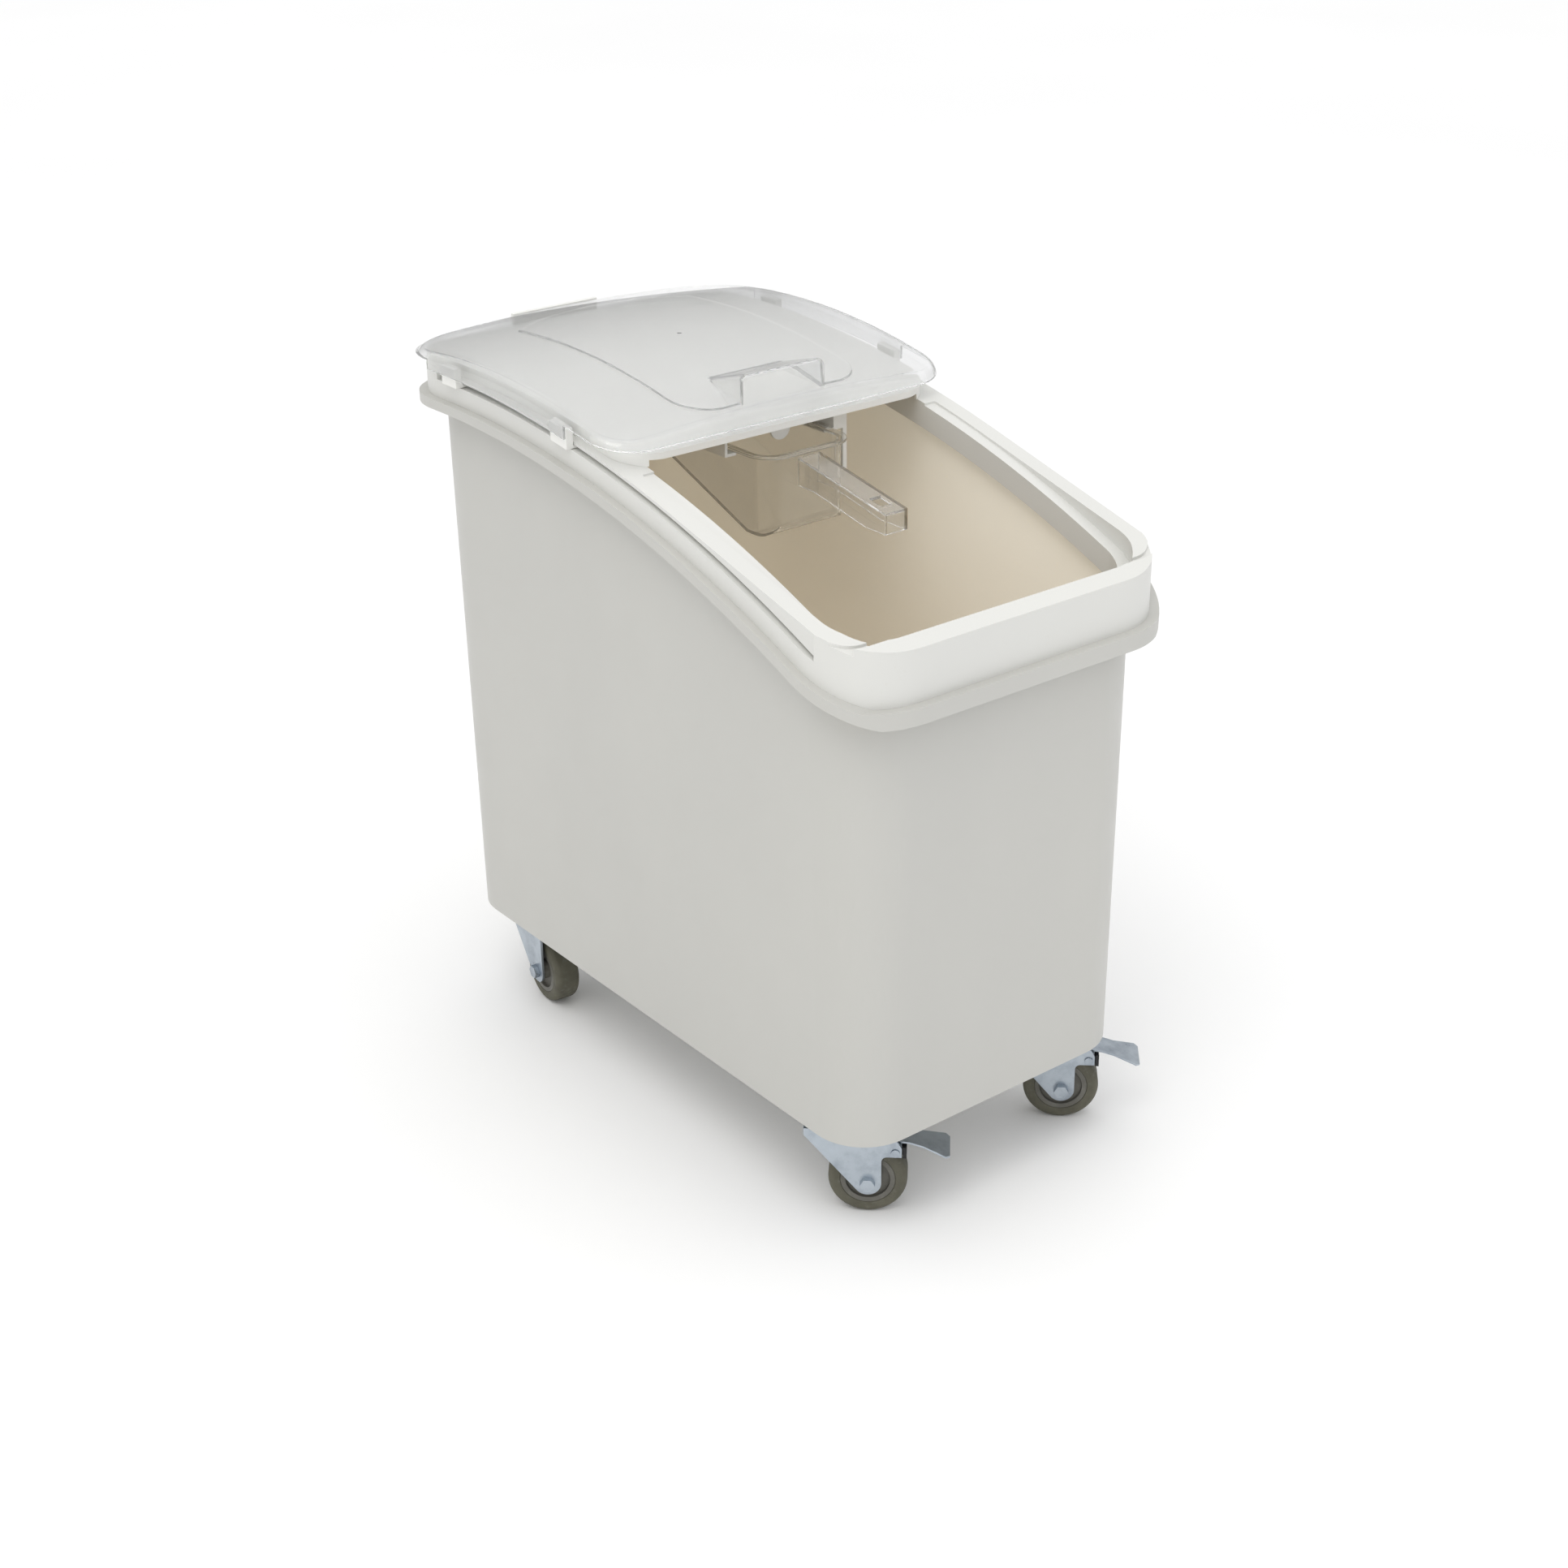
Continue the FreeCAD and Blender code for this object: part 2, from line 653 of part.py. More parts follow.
def make_lid():
    """A clear crowned cover with a raised panel and a grip; its skirt hangs outside the collar."""
    shell = crown("lid_shell", "0", value("lid_shoulder"))
    side, reach = "panel_width / 2", "((panel_width / 2) ^ 2 / (panel_rear_y - panel_side_y))"
    bow = f"({reach} + panel_rear_y - panel_side_y) / 2"
    panel = doc.addObject("PartDesign::Body", "panel_block")
    sketch = sketch_on(panel, "XY_Plane", "panel_outline", 640)
    outline(
        sketch,
        [
            (f"-{side}", "panel_front_y + panel_corner", "panel_corner", 1),
            (f"-{side} + panel_corner", "panel_front_y"),
            (f"{side} - panel_corner", "panel_front_y", "panel_corner", 1),
            (side, "panel_front_y + panel_corner"),
            (side, "panel_side_y", bow, 1),
            (f"-{side}", "panel_side_y"),
        ],
    )
    pad = panel.newObject("PartDesign::Pad", "panel_pad")
    pad.Profile = sketch
    drive(pad, Length=140)
    raised = cut("panel_plate", common("panel_body", panel, barrel("panel_barrel", "-panel_rise")),
                 barrel("panel_base", "1"))
    grip = cut("grip_outer", grip_solid("grip", "0"), barrel("grip_base", "1"))
    outside = join("lid_outside", shell, raised, grip)
    hollow = crown("lid_hollow", "lid_wall", value("lid_shoulder - lid_wall"))
    grip_room = grip_solid("grip_room", "lid_wall")
    front_span = ("lid_front_y - 5", "lid_front_y + lid_rear_corner")
    rear_span = ("lid_rear_y - lid_rear_corner", "lid_rear_y + 5")
    front_end = box("lid_front_end", (-250, 250), front_span, (500, 780))
    rear_end = box("lid_rear_end", (-250, 250), rear_span, (500, 780))
    trims = [
        common("lid_front_trim", front_end, drum("lid_front_drum", "lid_front_rad")),
        common("lid_rear_trim", rear_end, drum("lid_rear_drum", "lid_rear_rad")),
        drum("lid_side_drum", "lid_side_rad"),
    ]
    keep(cut("lid_node", outside, hollow, grip_room, *trims), "sliding_lid")


def make_shoes():
    """Four hooks on the inside of the lid's skirt, each with a finger in the collar's groove."""
    shoes = []
    inner_x = "lid_width / 2 - lid_wall"
    for side, sign in (("left", -1), ("right", 1)):
        for end, start in (("front", "shoe_front_y"), ("rear", "shoe_rear_y")):
            name = f"shoe_{end}_{side}"
            span = (start, f"{start} + shoe_length")
            web = box(name + "_web", mirrored(sign, "overhang_x + shoe_gap", inner_x), span, (500, 780))
            finger = box(name + "_finger", mirrored(sign, "groove_back_x + shoe_gap", inner_x), span,
                         (500, 780))
            low, high = "ledge_rad + shoe_gap", "overhang_rad - shoe_gap"
            web_arc = common(name + "_web_arc", web, drum(name + "_web_high", "lid_front_rad - 4"))
            finger_arc = common(name + "_finger_arc", finger, drum(name + "_finger_high", high))
            shoes.append(cut(name, join(name + "_both", web_arc, finger_arc), drum(name + "_low", low)))
    keep(join("shoes_node", *shoes), "lid_guide_shoes")


def mirrored(sign, near, far):
    """A span of X from near to far, on the right for +1 and on the left for -1."""
    return (near, far) if sign > 0 else (f"-({far})", f"-({near})")


# ---------------------------------------------------------------- scoop


def make_scoop():
    block = prism("scoop_block", "scoop_width", "scoop_rear_wall_y", "scoop_mouth_y + 100", "scoop_corner",
                  580, "scoop_rim_z")
    bowl = common("scoop_bowl", block, scoop_side("scoop_profile", "0", "scoop_rim_z", 200))
    flange = prism("scoop_flange", "scoop_width + 2 * rim_flange", "scoop_rear_wall_y - rim_flange",
                   "scoop_mouth_y + 100", "scoop_corner + rim_flange", "scoop_rim_z - rim_thick", "scoop_rim_z")
    flange_end = box("scoop_flange_end", (-100, 100), ("scoop_mouth_y", "scoop_mouth_y + 120"), (580, 700))
    rim = cut("scoop_rim", flange, flange_end)
    room_block = prism("scoop_room_block", "scoop_width - 2 * scoop_wall", "scoop_rear_wall_y + scoop_wall",
                       "scoop_mouth_y + 100", "scoop_corner - scoop_wall", 580, "scoop_rim_z + 5")
    room = common("scoop_room", room_block, scoop_side("scoop_inside", "scoop_wall", "scoop_rim_z + 5", 200))
    handle = handle_solid("scoop_handle", "0", "handle_width")
    hollow = handle_solid("scoop_handle_hollow", "scoop_wall", "handle_width - 2 * scoop_wall")
    hole = box("handle_hole", ("-handle_width / 4", "handle_width / 4"),
               ("handle_end_y + 14", "handle_end_y + 30"), ("handle_end_z", "scoop_rim_z"))
    solid = cut("scoop_solid", join("scoop_outer", bowl, rim, cut("scoop_grip", handle, hollow, hole)), room)
    keep(solid, "scoop")


def scoop_side(name, wall, top, width):
    """The bowl's side view: deep at the back wall, with a floor that rises to the mouth."""
    slope = "(scoop_lip_z - scoop_floor_z) / (scoop_mouth_y - scoop_bend_y)"
    front = f"scoop_rear_wall_y + {wall}"
    base = f"scoop_floor_z + {wall}"
    end = "scoop_mouth_y + 60" if wall != "0" else "scoop_mouth_y"
    end_z = f"{base} + ({slope}) * ({end} - scoop_bend_y)"
    corners = [
        (front, top),
        (front, f"{base} + 14 - {wall}", f"14 - {wall}", 1),
        (f"{front} + 14 - {wall}", base),
        ("scoop_bend_y", base),
        (end, end_z),
        (end, top),
    ]
    return slab(name, "YZ_Plane", corners, width)


def handle_solid(name, wall, width):
    """The handle's side view, from the bowl's back wall forward; a wall makes the hollow inside it."""
    root = f"scoop_rear_wall_y + {wall} - scoop_wall"
    drop = f"{wall} * 4"
    corners = [
        (f"handle_end_y + {wall}", f"handle_end_top_z - {wall}"),
        (f"handle_end_y + {wall}", f"handle_end_z - {drop}"),
        ("handle_end_y + 30", f"handle_end_z - {drop}"),
        ("handle_end_y + 103", f"handle_root_z - {drop}"),
        (f"{root} + scoop_wall", f"handle_root_z - {drop}"),
        (f"{root} + scoop_wall", f"handle_root_top_z - {wall}"),
    ]
    return slab(name, "YZ_Plane", corners, width)


def make_hanger():
    """Two rails with inward feet that carry the scoop's rim, a centre tab and a thin leg."""
    top = 760
    bar_depth = ("hanger_front_y", "hanger_front_y + 5")
    bar = box("hanger_bar", ("-foot_x", "leg_x"), bar_depth, ("hanger_bar_z", top))
    pieces = [bar]
    for side, sign in (("left", -1), ("right", 1)):
        span = ("hanger_front_y", "hanger_rear_y")
        pieces.append(box(f"rail_{side}", mirrored(sign, "foot_x - foot_thick", "foot_x"), span,
                          ("foot_top_z - foot_thick", top)))
        pieces.append(box(f"foot_{side}", mirrored(sign, "foot_tip_x", "foot_x"), span,
                          ("foot_top_z - foot_thick", "foot_top_z")))
    pieces.append(rod("tab_round", "y", "tab_rad", 3, "0", "hanger_front_y + 1", "tab_drop_z + tab_rad"))
    pieces.append(box("tab_top", ("-tab_rad", "tab_rad"), ("hanger_front_y + 1", "hanger_front_y + 4"),
                      ("tab_drop_z + tab_rad", top)))
    pieces.append(box("leg_plate", ("foot_x - 1", "leg_x"), ("hanger_front_y + 1", "hanger_front_y + 4"),
                      ("foot_top_z - foot_thick", top)))
    pieces.append(box("leg", ("leg_x - 5", "leg_x"), ("hanger_front_y + 1", "hanger_front_y + 4"),
                      ("leg_z", "foot_top_z")))
    keep(common("hanger_node", join("hanger_pieces", *pieces), drum("hanger_top", "deck_under_rad")),
         "scoop_hanger")


# ---------------------------------------------------------------- casters


def at_caster(obj, corner, swivelled=True):
    """Stand a piece drawn in the caster's own frame at its corner of the tub."""
    side_x, side_y, heading = CASTERS[corner]
    if swivelled:
        obj.Placement.Rotation = FreeCAD.Rotation(heading, 0, 0)
    return place(obj, f"{side_x} * caster_x", f"{side_y} * caster_y", "0")


def bolt_rods(corner, name, radius, low, length):
    """Four rods through the bolt pattern of one caster, in the bin's frame."""
    side_x, side_y, _ = CASTERS[corner]
    return [
        rod(f"{name}_{corner}_{index}", "z", radius, length, f"{side_x} * caster_x + {a} * bolt_x",
            f"{side_y} * caster_y + {b} * bolt_y", low)
        for index, (a, b) in enumerate(((-1, -1), (1, -1), (1, 1), (-1, 1)))
    ]


def hexagon(name, low, height, x, y, z, upright):
    """A hexagonal head or nut."""
    solid = doc.addObject("Part::Prism", name)
    solid.Polygon = 6
    drive(solid, Circumradius="hex_rad", Height=height)
    if not upright:
        solid.Placement.Rotation = FreeCAD.Rotation(0, 0, -90)
    return place(solid, x, y if upright else low, low if upright else z)


def make_mounting(corner):
    """What stays with the tub: plate with its raceway, kingpin and the four bolts."""
    name = f"caster_{corner}"
    top = "tub_floor_z"
    under = "tub_floor_z - plate_thick"
    plate = box(name + "_plate_box", ("-plate_width / 2", "plate_width / 2"),
                ("-plate_depth / 2", "plate_depth / 2"), (under, top))
    race = rod(name + "_race", "z", "race_rad", f"{under} - race_z", "0", "0", "race_z")
    bore = rod(name + "_bore", "z", "kingpin_rad", 20, "0", "0", "race_z - 5")
    holes = [
        rod(f"{name}_hole_{index}", "z", "bolt_hole_rad", 20, f"{a} * bolt_x", f"{b} * bolt_y", "race_z - 5")
        for index, (a, b) in enumerate(((-1, -1), (1, -1), (1, 1), (-1, 1)))
    ]
    solid = cut(name + "_plate_solid", join(name + "_plate_raw", plate, race), bore, *holes)
    keep(at_caster(solid, corner, swivelled=False), name + "_plate")

    low = "crown_z - sheet - 0.3"
    shank = rod(name + "_shank", "z", "kingpin_rad", f"{top} - ({low})", "0", "0", low)
    head = rod(name + "_head", "z", "kingpin_head_rad", "kingpin_head", "0", "0", f"{low} - kingpin_head")
    keep(at_caster(join(name + "_kingpin_solid", shank, head), corner, swivelled=False), name + "_kingpin")

    side_x, side_y, _ = CASTERS[corner]
    bolts = bolt_rods(corner, "bolt", "bolt_rad", under, "plate_thick + tub_base + 4")
    for index, (a, b) in enumerate(((-1, -1), (1, -1), (1, 1), (-1, 1))):
        spot = (f"{side_x} * caster_x + {a} * bolt_x", f"{side_y} * caster_y + {b} * bolt_y")
        bolts.append(hexagon(f"bolt_head_{corner}_{index}", f"{under} - 3.5", "3.5", *spot, None, True))
        bolts.append(rod(f"bolt_cap_{corner}_{index}", "z", "hex_rad", 3.5, *spot, "tub_floor_z + tub_base"))
    keep(join(f"bolts_{corner}", *bolts), name + "_bolts")


def make_balls(corner):
    """The ball ring between the plate's raceway and the fork's crown."""
    name = f"caster_{corner}_balls"
    balls = []
    for index in range(12):
        ball = doc.addObject("Part::Sphere", f"{name}_{index}")
        drive(ball, Radius="ball_rad")
        angle = index * 30
        x, y = f"ball_pitch_rad * cos({angle})", f"ball_pitch_rad * sin({angle})"
        balls.append(place(ball, x, y, "ball_z"))
    keep(at_caster(join(name + "_ring", *balls), corner), name)


def fork_outline(braked):
    """One side of the fork: a wide crown that narrows to the axle, with an arm for the brake."""
    boss_x = "trail + fork_boss_rad * cos(fork_boss_angle)"
    boss_z = "wheel_rad + fork_boss_rad * sin(fork_boss_angle)"
    edge_x = "trail + fork_boss_rad"
    corners = [
        ("-fork_lead", "crown_z"),
        ("-fork_lead", "fork_lead_z"),
        (boss_x, boss_z, "fork_boss_rad", 1),
        (edge_x, "wheel_rad"),
    ]
    if braked:
        corners += [
            (edge_x, "fork_arm_z - fork_notch_rad", "fork_notch_rad", -1),
            (f"{edge_x} + fork_notch_rad", "fork_arm_z"),
            ("fork_arm_x", "fork_arm_z"),
            ("fork_arm_x", "fork_arm_top_z"),
        ]
    corners.append(("fork_tail_x" if braked else edge_x, "crown_z"))
    return corners


def make_fork(corner):
    braked = corner in BRAKED
    name = f"caster_{corner}_fork"
    outer = slab(name + "_outer", "XZ_Plane", fork_outline(braked), "2 * (fork_inner + sheet)")
    inner = box(name + "_inner", (-80, 120), ("-fork_inner", "fork_inner"), (0, "crown_z - sheet"))
    axle = rod(name + "_axle_hole", "y", "axle_rad + 0.05", 80, "trail", -40, "wheel_rad")
    bore = rod(name + "_bore", "z", "kingpin_rad + running_gap", 30, "0", "0", "crown_z - 15")
    tools = [inner, axle, bore]
    if braked:
        tools.append(rod(name + "_pin_hole", "y", "brake_pin_rad", 80, "brake_x", -40, "brake_z"))
    keep(at_caster(cut(name + "_solid", outer, *tools), corner), name)


def make_axle(corner):
    name = f"caster_{corner}"
    outer = "fork_inner + sheet"
    shank = rod(name + "_axle", "y", "axle_rad", f"2 * ({outer}) + hex_height + 1.5", "trail", f"-({outer})",
                "wheel_rad")
    head = hexagon(name + "_axle_head", f"-({outer}) - hex_height", "hex_height", "trail", None, "wheel_rad",
                   False)
    keep(at_caster(join(name + "_axle_solid", shank, head), corner), name + "_axle_bolt")
    nut = hexagon(name + "_nut", outer, "hex_height", "trail", None, "wheel_rad", False)
    hole = rod(name + "_nut_hole", "y", "axle_rad", 60, "trail", 0, "wheel_rad")
    keep(at_caster(cut(name + "_nut_solid", nut, hole), corner), name + "_axle_nut")
    bush = rod(name + "_bush_rod", "y", "bush_rad", "2 * fork_inner", "trail", "-fork_inner", "wheel_rad")
    bush_hole = rod(name + "_bush_hole", "y", "axle_rad", 60, "trail", -30, "wheel_rad")
    keep(at_caster(cut(name + "_bush_solid", bush, bush_hole), corner), name + "_axle_bush")


def make_wheel(corner):
    """A dished hub that runs on the bush, and the tyre around it."""
    name = f"caster_{corner}"
    hub_section = [
        ("-hub_boss_width / 2", "bush_rad + running_gap"),
        ("hub_boss_width / 2", "bush_rad + running_gap"),
        ("hub_boss_width / 2", "hub_boss_rad"),
        ("hub_width / 2 - hub_dish", "hub_boss_rad"),
        ("hub_width / 2 - hub_dish", "hub_dish_rad"),
        ("hub_width / 2", "hub_dish_rad"),
        ("hub_width / 2", "hub_rad"),
        ("-hub_width / 2", "hub_rad"),
        ("-hub_width / 2", "hub_dish_rad"),
        ("-hub_width / 2 + hub_dish", "hub_dish_rad"),
        ("-hub_width / 2 + hub_dish", "hub_boss_rad"),
        ("-hub_boss_width / 2", "hub_boss_rad"),
    ]
    keep(at_caster(turned(name + "_hub_body", hub_section, "trail", "wheel_rad"), corner), name + "_hub")
    shoulder = "wheel_rad - tyre_shoulder"
    flat = "wheel_width / 2 - tyre_shoulder"
    tyre_section = [
        ("-wheel_width / 2", "hub_rad"),
        ("wheel_width / 2", "hub_rad"),
        ("wheel_width / 2", shoulder, "tyre_shoulder", 1),
        (flat, "wheel_rad"),
        (f"-({flat})", "wheel_rad", "tyre_shoulder", 1),
        ("-wheel_width / 2", shoulder),
    ]
    keep(at_caster(turned(name + "_tyre_body", tyre_section, "trail", "wheel_rad"), corner), name + "_tyre")


def make_brake(corner):
    """Pedal, shoe and pivot pin. Pressing the pedal turns the shoe onto the tyre."""
    name = f"caster_{corner}"
    path = [
        ("pedal_start_x", "pedal_start_z"),
        ("pedal_start_x", "pedal_start_z - pedal_thick"),
        ("pedal_knee_x", "pedal_knee_z - pedal_thick"),
        ("pedal_end_x", "pedal_end_z - pedal_thick"),
        ("pedal_end_x", "pedal_end_z"),
        ("pedal_knee_x", "pedal_knee_z"),
    ]
    plate = slab(name + "_pedal_profile", "XZ_Plane", path, 60)
    plan = [
        ("pedal_start_x - 5", "-pedal_neck / 2"),
        ("pedal_flare_x", "-pedal_neck / 2"),
        ("pedal_end_x - 4", "-pedal_tail / 2"),
        ("pedal_end_x", "-pedal_tail / 2 + 4"),
        ("pedal_end_x", "pedal_tail / 2 - 4"),
        ("pedal_end_x - 4", "pedal_tail / 2"),
        ("pedal_flare_x", "pedal_neck / 2"),
        ("pedal_start_x - 5", "pedal_neck / 2"),
    ]
    shape = slab(name + "_pedal_plan", "XY_Plane", plan, 300)
    pieces = [common(name + "_pedal_plate", plate, shape)]
    for side, sign in (("left", -1), ("right", 1)):
        ear_y = mirrored(sign, "pedal_neck / 2 - ear_thick", "pedal_neck / 2")
        pieces.append(rod(f"{name}_ear_{side}", "y", "ear_rad", "ear_thick", "brake_x", ear_y[0], "brake_z"))
        pieces.append(box(f"{name}_ear_web_{side}", ("brake_x - ear_rad", "brake_x + ear_rad"), ear_y,
                          ("brake_z", "pedal_knee_z - 0.5")))
    hole = rod(name + "_pedal_hole", "y", "brake_pin_rad + running_gap", 80, "brake_x", -40, "brake_z")
    wheel_room = rod(name + "_pedal_room", "y", "wheel_rad + 1.5", 80, "trail", -40, "wheel_rad")
    pedal = cut(name + "_pedal_solid", join(name + "_pedal_raw", *pieces), hole, wheel_room)
    keep(at_caster(pedal, corner), name + "_brake_pedal")

    block = slab(
        name + "_shoe_profile",
        "XZ_Plane",
        [
            ("brake_x - 1", "brake_z - 4.5"),
            ("brake_x + 3.5", "brake_z - 8"),
            ("strip_x + 1", "brake_z - 8"),
            ("strip_x + 1", "brake_z + 3"),
            ("brake_x - 1", "brake_z + 3"),
        ],
        "shoe_width",
    )
    strip = box(name + "_shoe_strip", ("strip_x", "strip_x + strip_thick"),
                ("-strip_width / 2", "strip_width / 2"), ("strip_low_z", "strip_high_z"))
    shoe_hole = rod(name + "_shoe_hole", "y", "brake_pin_rad + running_gap", 80, "brake_x", -40, "brake_z")
    shoe = cut(name + "_shoe_solid", join(name + "_shoe_raw", block, strip), shoe_hole)
    keep(at_caster(shoe, corner), name + "_brake_shoe")

    half = "fork_inner + sheet"
    pin_section = [
        (f"-({half}) - rivet_head", "0"),
        (f"{half} + rivet_head", "0"),
        (f"{half} + rivet_head", "rivet_rad"),
        (half, "rivet_rad"),
        (half, "brake_pin_rad"),
        (f"-({half})", "brake_pin_rad"),
        (f"-({half})", "rivet_rad"),
        (f"-({half}) - rivet_head", "rivet_rad"),
    ]
    pin = turned(name + "_pin_body", pin_section, "brake_x", "brake_z")
    keep(at_caster(pin, corner), name + "_brake_pin")


# ---------------------------------------------------------------- build, check and write

make_tub()
make_collar()
make_deck()
make_stop()
make_lid()
make_shoes()
make_scoop()
make_hanger()
for corner in CASTERS:
    make_mounting(corner)
    make_balls(corner)
    make_fork(corner)
    make_axle(corner)
    make_wheel(corner)
for corner in BRAKED:
    make_brake(corner)

doc.recompute()
for obj in doc.Objects:
    if {"Invalid", "Error"} & set(obj.State):
        raise RuntimeError(f"{obj.Name} failed: {obj.State}")
os.makedirs("parts", exist_ok=True)
for part in parts:
    if part.Shape.isNull() or not part.Shape.isValid():
        raise RuntimeError(f"{part.Label} has no valid shape")
    part.Shape.exportStep(f"parts/{part.Label}.step")
    size = part.Shape.BoundBox
    print(f"{part.Label:24s} solids {len(part.Shape.Solids):2d} volume {part.Shape.Volume / 1000:9.2f} cm3 "
          f"x {size.XMin:7.1f} {size.XMax:7.1f} y {size.YMin:7.1f} {size.YMax:7.1f} "
          f"z {size.ZMin:6.1f} {size.ZMax:6.1f}")
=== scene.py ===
import json
import math
import bmesh
import bpy
from mathutils import Euler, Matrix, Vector
from mathutils.geometry import delaunay_2d_cdt


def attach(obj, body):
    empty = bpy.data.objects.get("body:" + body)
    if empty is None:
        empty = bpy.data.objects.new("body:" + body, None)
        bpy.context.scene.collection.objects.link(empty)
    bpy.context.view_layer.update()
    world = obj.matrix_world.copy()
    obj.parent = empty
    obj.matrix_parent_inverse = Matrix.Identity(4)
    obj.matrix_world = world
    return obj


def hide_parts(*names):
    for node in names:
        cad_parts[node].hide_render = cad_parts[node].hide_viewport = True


# A slant-top food bin. Metres, +X the bin's right, -Y its front, +Z up.

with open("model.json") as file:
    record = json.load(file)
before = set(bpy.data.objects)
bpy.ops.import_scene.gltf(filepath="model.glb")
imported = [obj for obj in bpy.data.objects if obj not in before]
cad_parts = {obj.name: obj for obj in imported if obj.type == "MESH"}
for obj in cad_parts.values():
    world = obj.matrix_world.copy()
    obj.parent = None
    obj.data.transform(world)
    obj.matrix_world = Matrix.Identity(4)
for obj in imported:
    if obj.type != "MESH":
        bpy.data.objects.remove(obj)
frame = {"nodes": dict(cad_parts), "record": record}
nodes = frame["nodes"]
scene = bpy.context.scene
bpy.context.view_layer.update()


# ---------------------------------------------------------------- node material helpers


class Shader:
    """A material under construction: a Principled shader and short calls that add nodes."""

    def __init__(self, name, roughness, **sockets):
        self.material = bpy.data.materials.new(name)
        self.material.use_nodes = True
        self.tree = self.material.node_tree
        self.shader = self.tree.nodes["Principled BSDF"]
        self.shader.inputs["Roughness"].default_value = roughness
        for socket, number in sockets.items():
            self.shader.inputs[socket.replace("_", " ")].default_value = number

    def add(self, kind, inputs=(), **settings):
        """A new node with its settings, and its inputs linked or set."""
        node = self.tree.nodes.new(kind)
        for key, setting in settings.items():
            setattr(node, key, setting)
        for key, source in dict(inputs).items():
            if isinstance(source, bpy.types.NodeSocket):
                self.tree.links.new(source, node.inputs[key])
            else:
                node.inputs[key].default_value = source
        return node

    def link(self, source, socket):
        self.tree.links.new(source, self.shader.inputs[socket])

    def coordinates(self, stretch):
        """The object's own coordinates, stretched; they stay with the piece when it moves."""
        place = self.add("ShaderNodeTexCoord").outputs["Object"]
        return self.add("ShaderNodeMapping", {"Vector": place, "Scale": stretch}).outputs["Vector"]

    def noise(self, scale, detail=3.0, stretch=(1, 1, 1), roughness=0.55):
        inputs = {
            "Vector": self.coordinates(stretch),
            "Scale": scale,
            "Detail": detail,
            "Roughness": roughness,
        }
        return self.add("ShaderNodeTexNoise", inputs).outputs["Fac"]

    def ramp(self, source, stops):
        """A colour ramp through (position, colour) stops; a colour may be one grey level."""
        node = self.add("ShaderNodeValToRGB", {"Fac": source})
        ramp = node.color_ramp
        while len(ramp.elements) < len(stops):
            ramp.elements.new(0.5)
        for element, (place, colour) in zip(ramp.elements, stops):
            element.position = place
            element.color = (colour, colour, colour, 1) if isinstance(colour, float) else (*colour, 1)
        return node.outputs["Color"]

    def span(self, source, low, high, to_low=0.0, to_high=1.0):
        """A value moved from one range to another, and clamped."""
        inputs = {
            "Value": source,
            "From Min": low,
            "From Max": high,
            "To Min": to_low,
            "To Max": to_high,
        }
        return self.add("ShaderNodeMapRange", inputs).outputs["Result"]

    def math(self, operation, first, second=0.0):
        return self.add("ShaderNodeMath", {0: first, 1: second}, operation=operation).outputs["Value"]

    def mix(self, factor, first, second):
        """The first colour turned into the second by a factor; 6, 7 and 2 are the colour sockets."""
        first, second = (
            colour if isinstance(colour, bpy.types.NodeSocket) else (*colour, 1)
            for colour in (first, second)
        )
        node = self.add("ShaderNodeMix", {0: factor, 6: first, 7: second}, data_type="RGBA")
        return node.outputs[2]

    def bump(self, layers):
        """Surface relief from (height, strength, depth in metres) layers."""
        normal = None
        for height, strength, distance in layers:
            inputs = {"Height": height, "Strength": strength, "Distance": distance}
            if normal is not None:
                inputs["Normal"] = normal
            normal = self.add("ShaderNodeBump", inputs).outputs["Normal"]
        self.link(normal, "Normal")


INNER_HALF_WIDTH, INNER_HALF_DEPTH = 0.1770, 0.3375  # just past the tub's inner walls at its mouth
EDGE_FADE = 0.001  # past those, the painted inner shade and light fade out over this width
FLOOR_FROM, FLOOR_FULL = 0.13, 0.12  # the painted shade and light on the tub's floor start at the first height, full at the second


def painted_inner_mask(m):
    """1 on the tub's inner walls and floor, which look towards the bin's middle or up; the mask for
    their painted shade, light and glow.

    It is 0 elsewhere, except under the rolled lip at the mouth's four corners.
    """
    place = m.add("ShaderNodeTexCoord")
    where = m.add("ShaderNodeSeparateXYZ", {0: place.outputs["Object"]})
    facing = m.add("ShaderNodeSeparateXYZ", {0: m.add("ShaderNodeNewGeometry").outputs["True Normal"]})
    across = m.math("MULTIPLY", where.outputs[0], facing.outputs[0])
    along = m.math("MULTIPLY", where.outputs[1], facing.outputs[1])
    walls = m.span(m.math("ADD", across, along), 0.0, -0.02)
    for axis, reach in ((0, INNER_HALF_WIDTH), (1, INNER_HALF_DEPTH)):
        beyond = m.math("ABSOLUTE", where.outputs[axis])
        walls = m.math("MULTIPLY", walls, m.span(beyond, reach + EDGE_FADE, reach))
    deep = m.span(where.outputs[2], FLOOR_FROM, FLOOR_FULL)
    level = m.span(facing.outputs[2], 0.4, 0.6)
    return m.math("MAXIMUM", walls, m.math("MULTIPLY", deep, level))


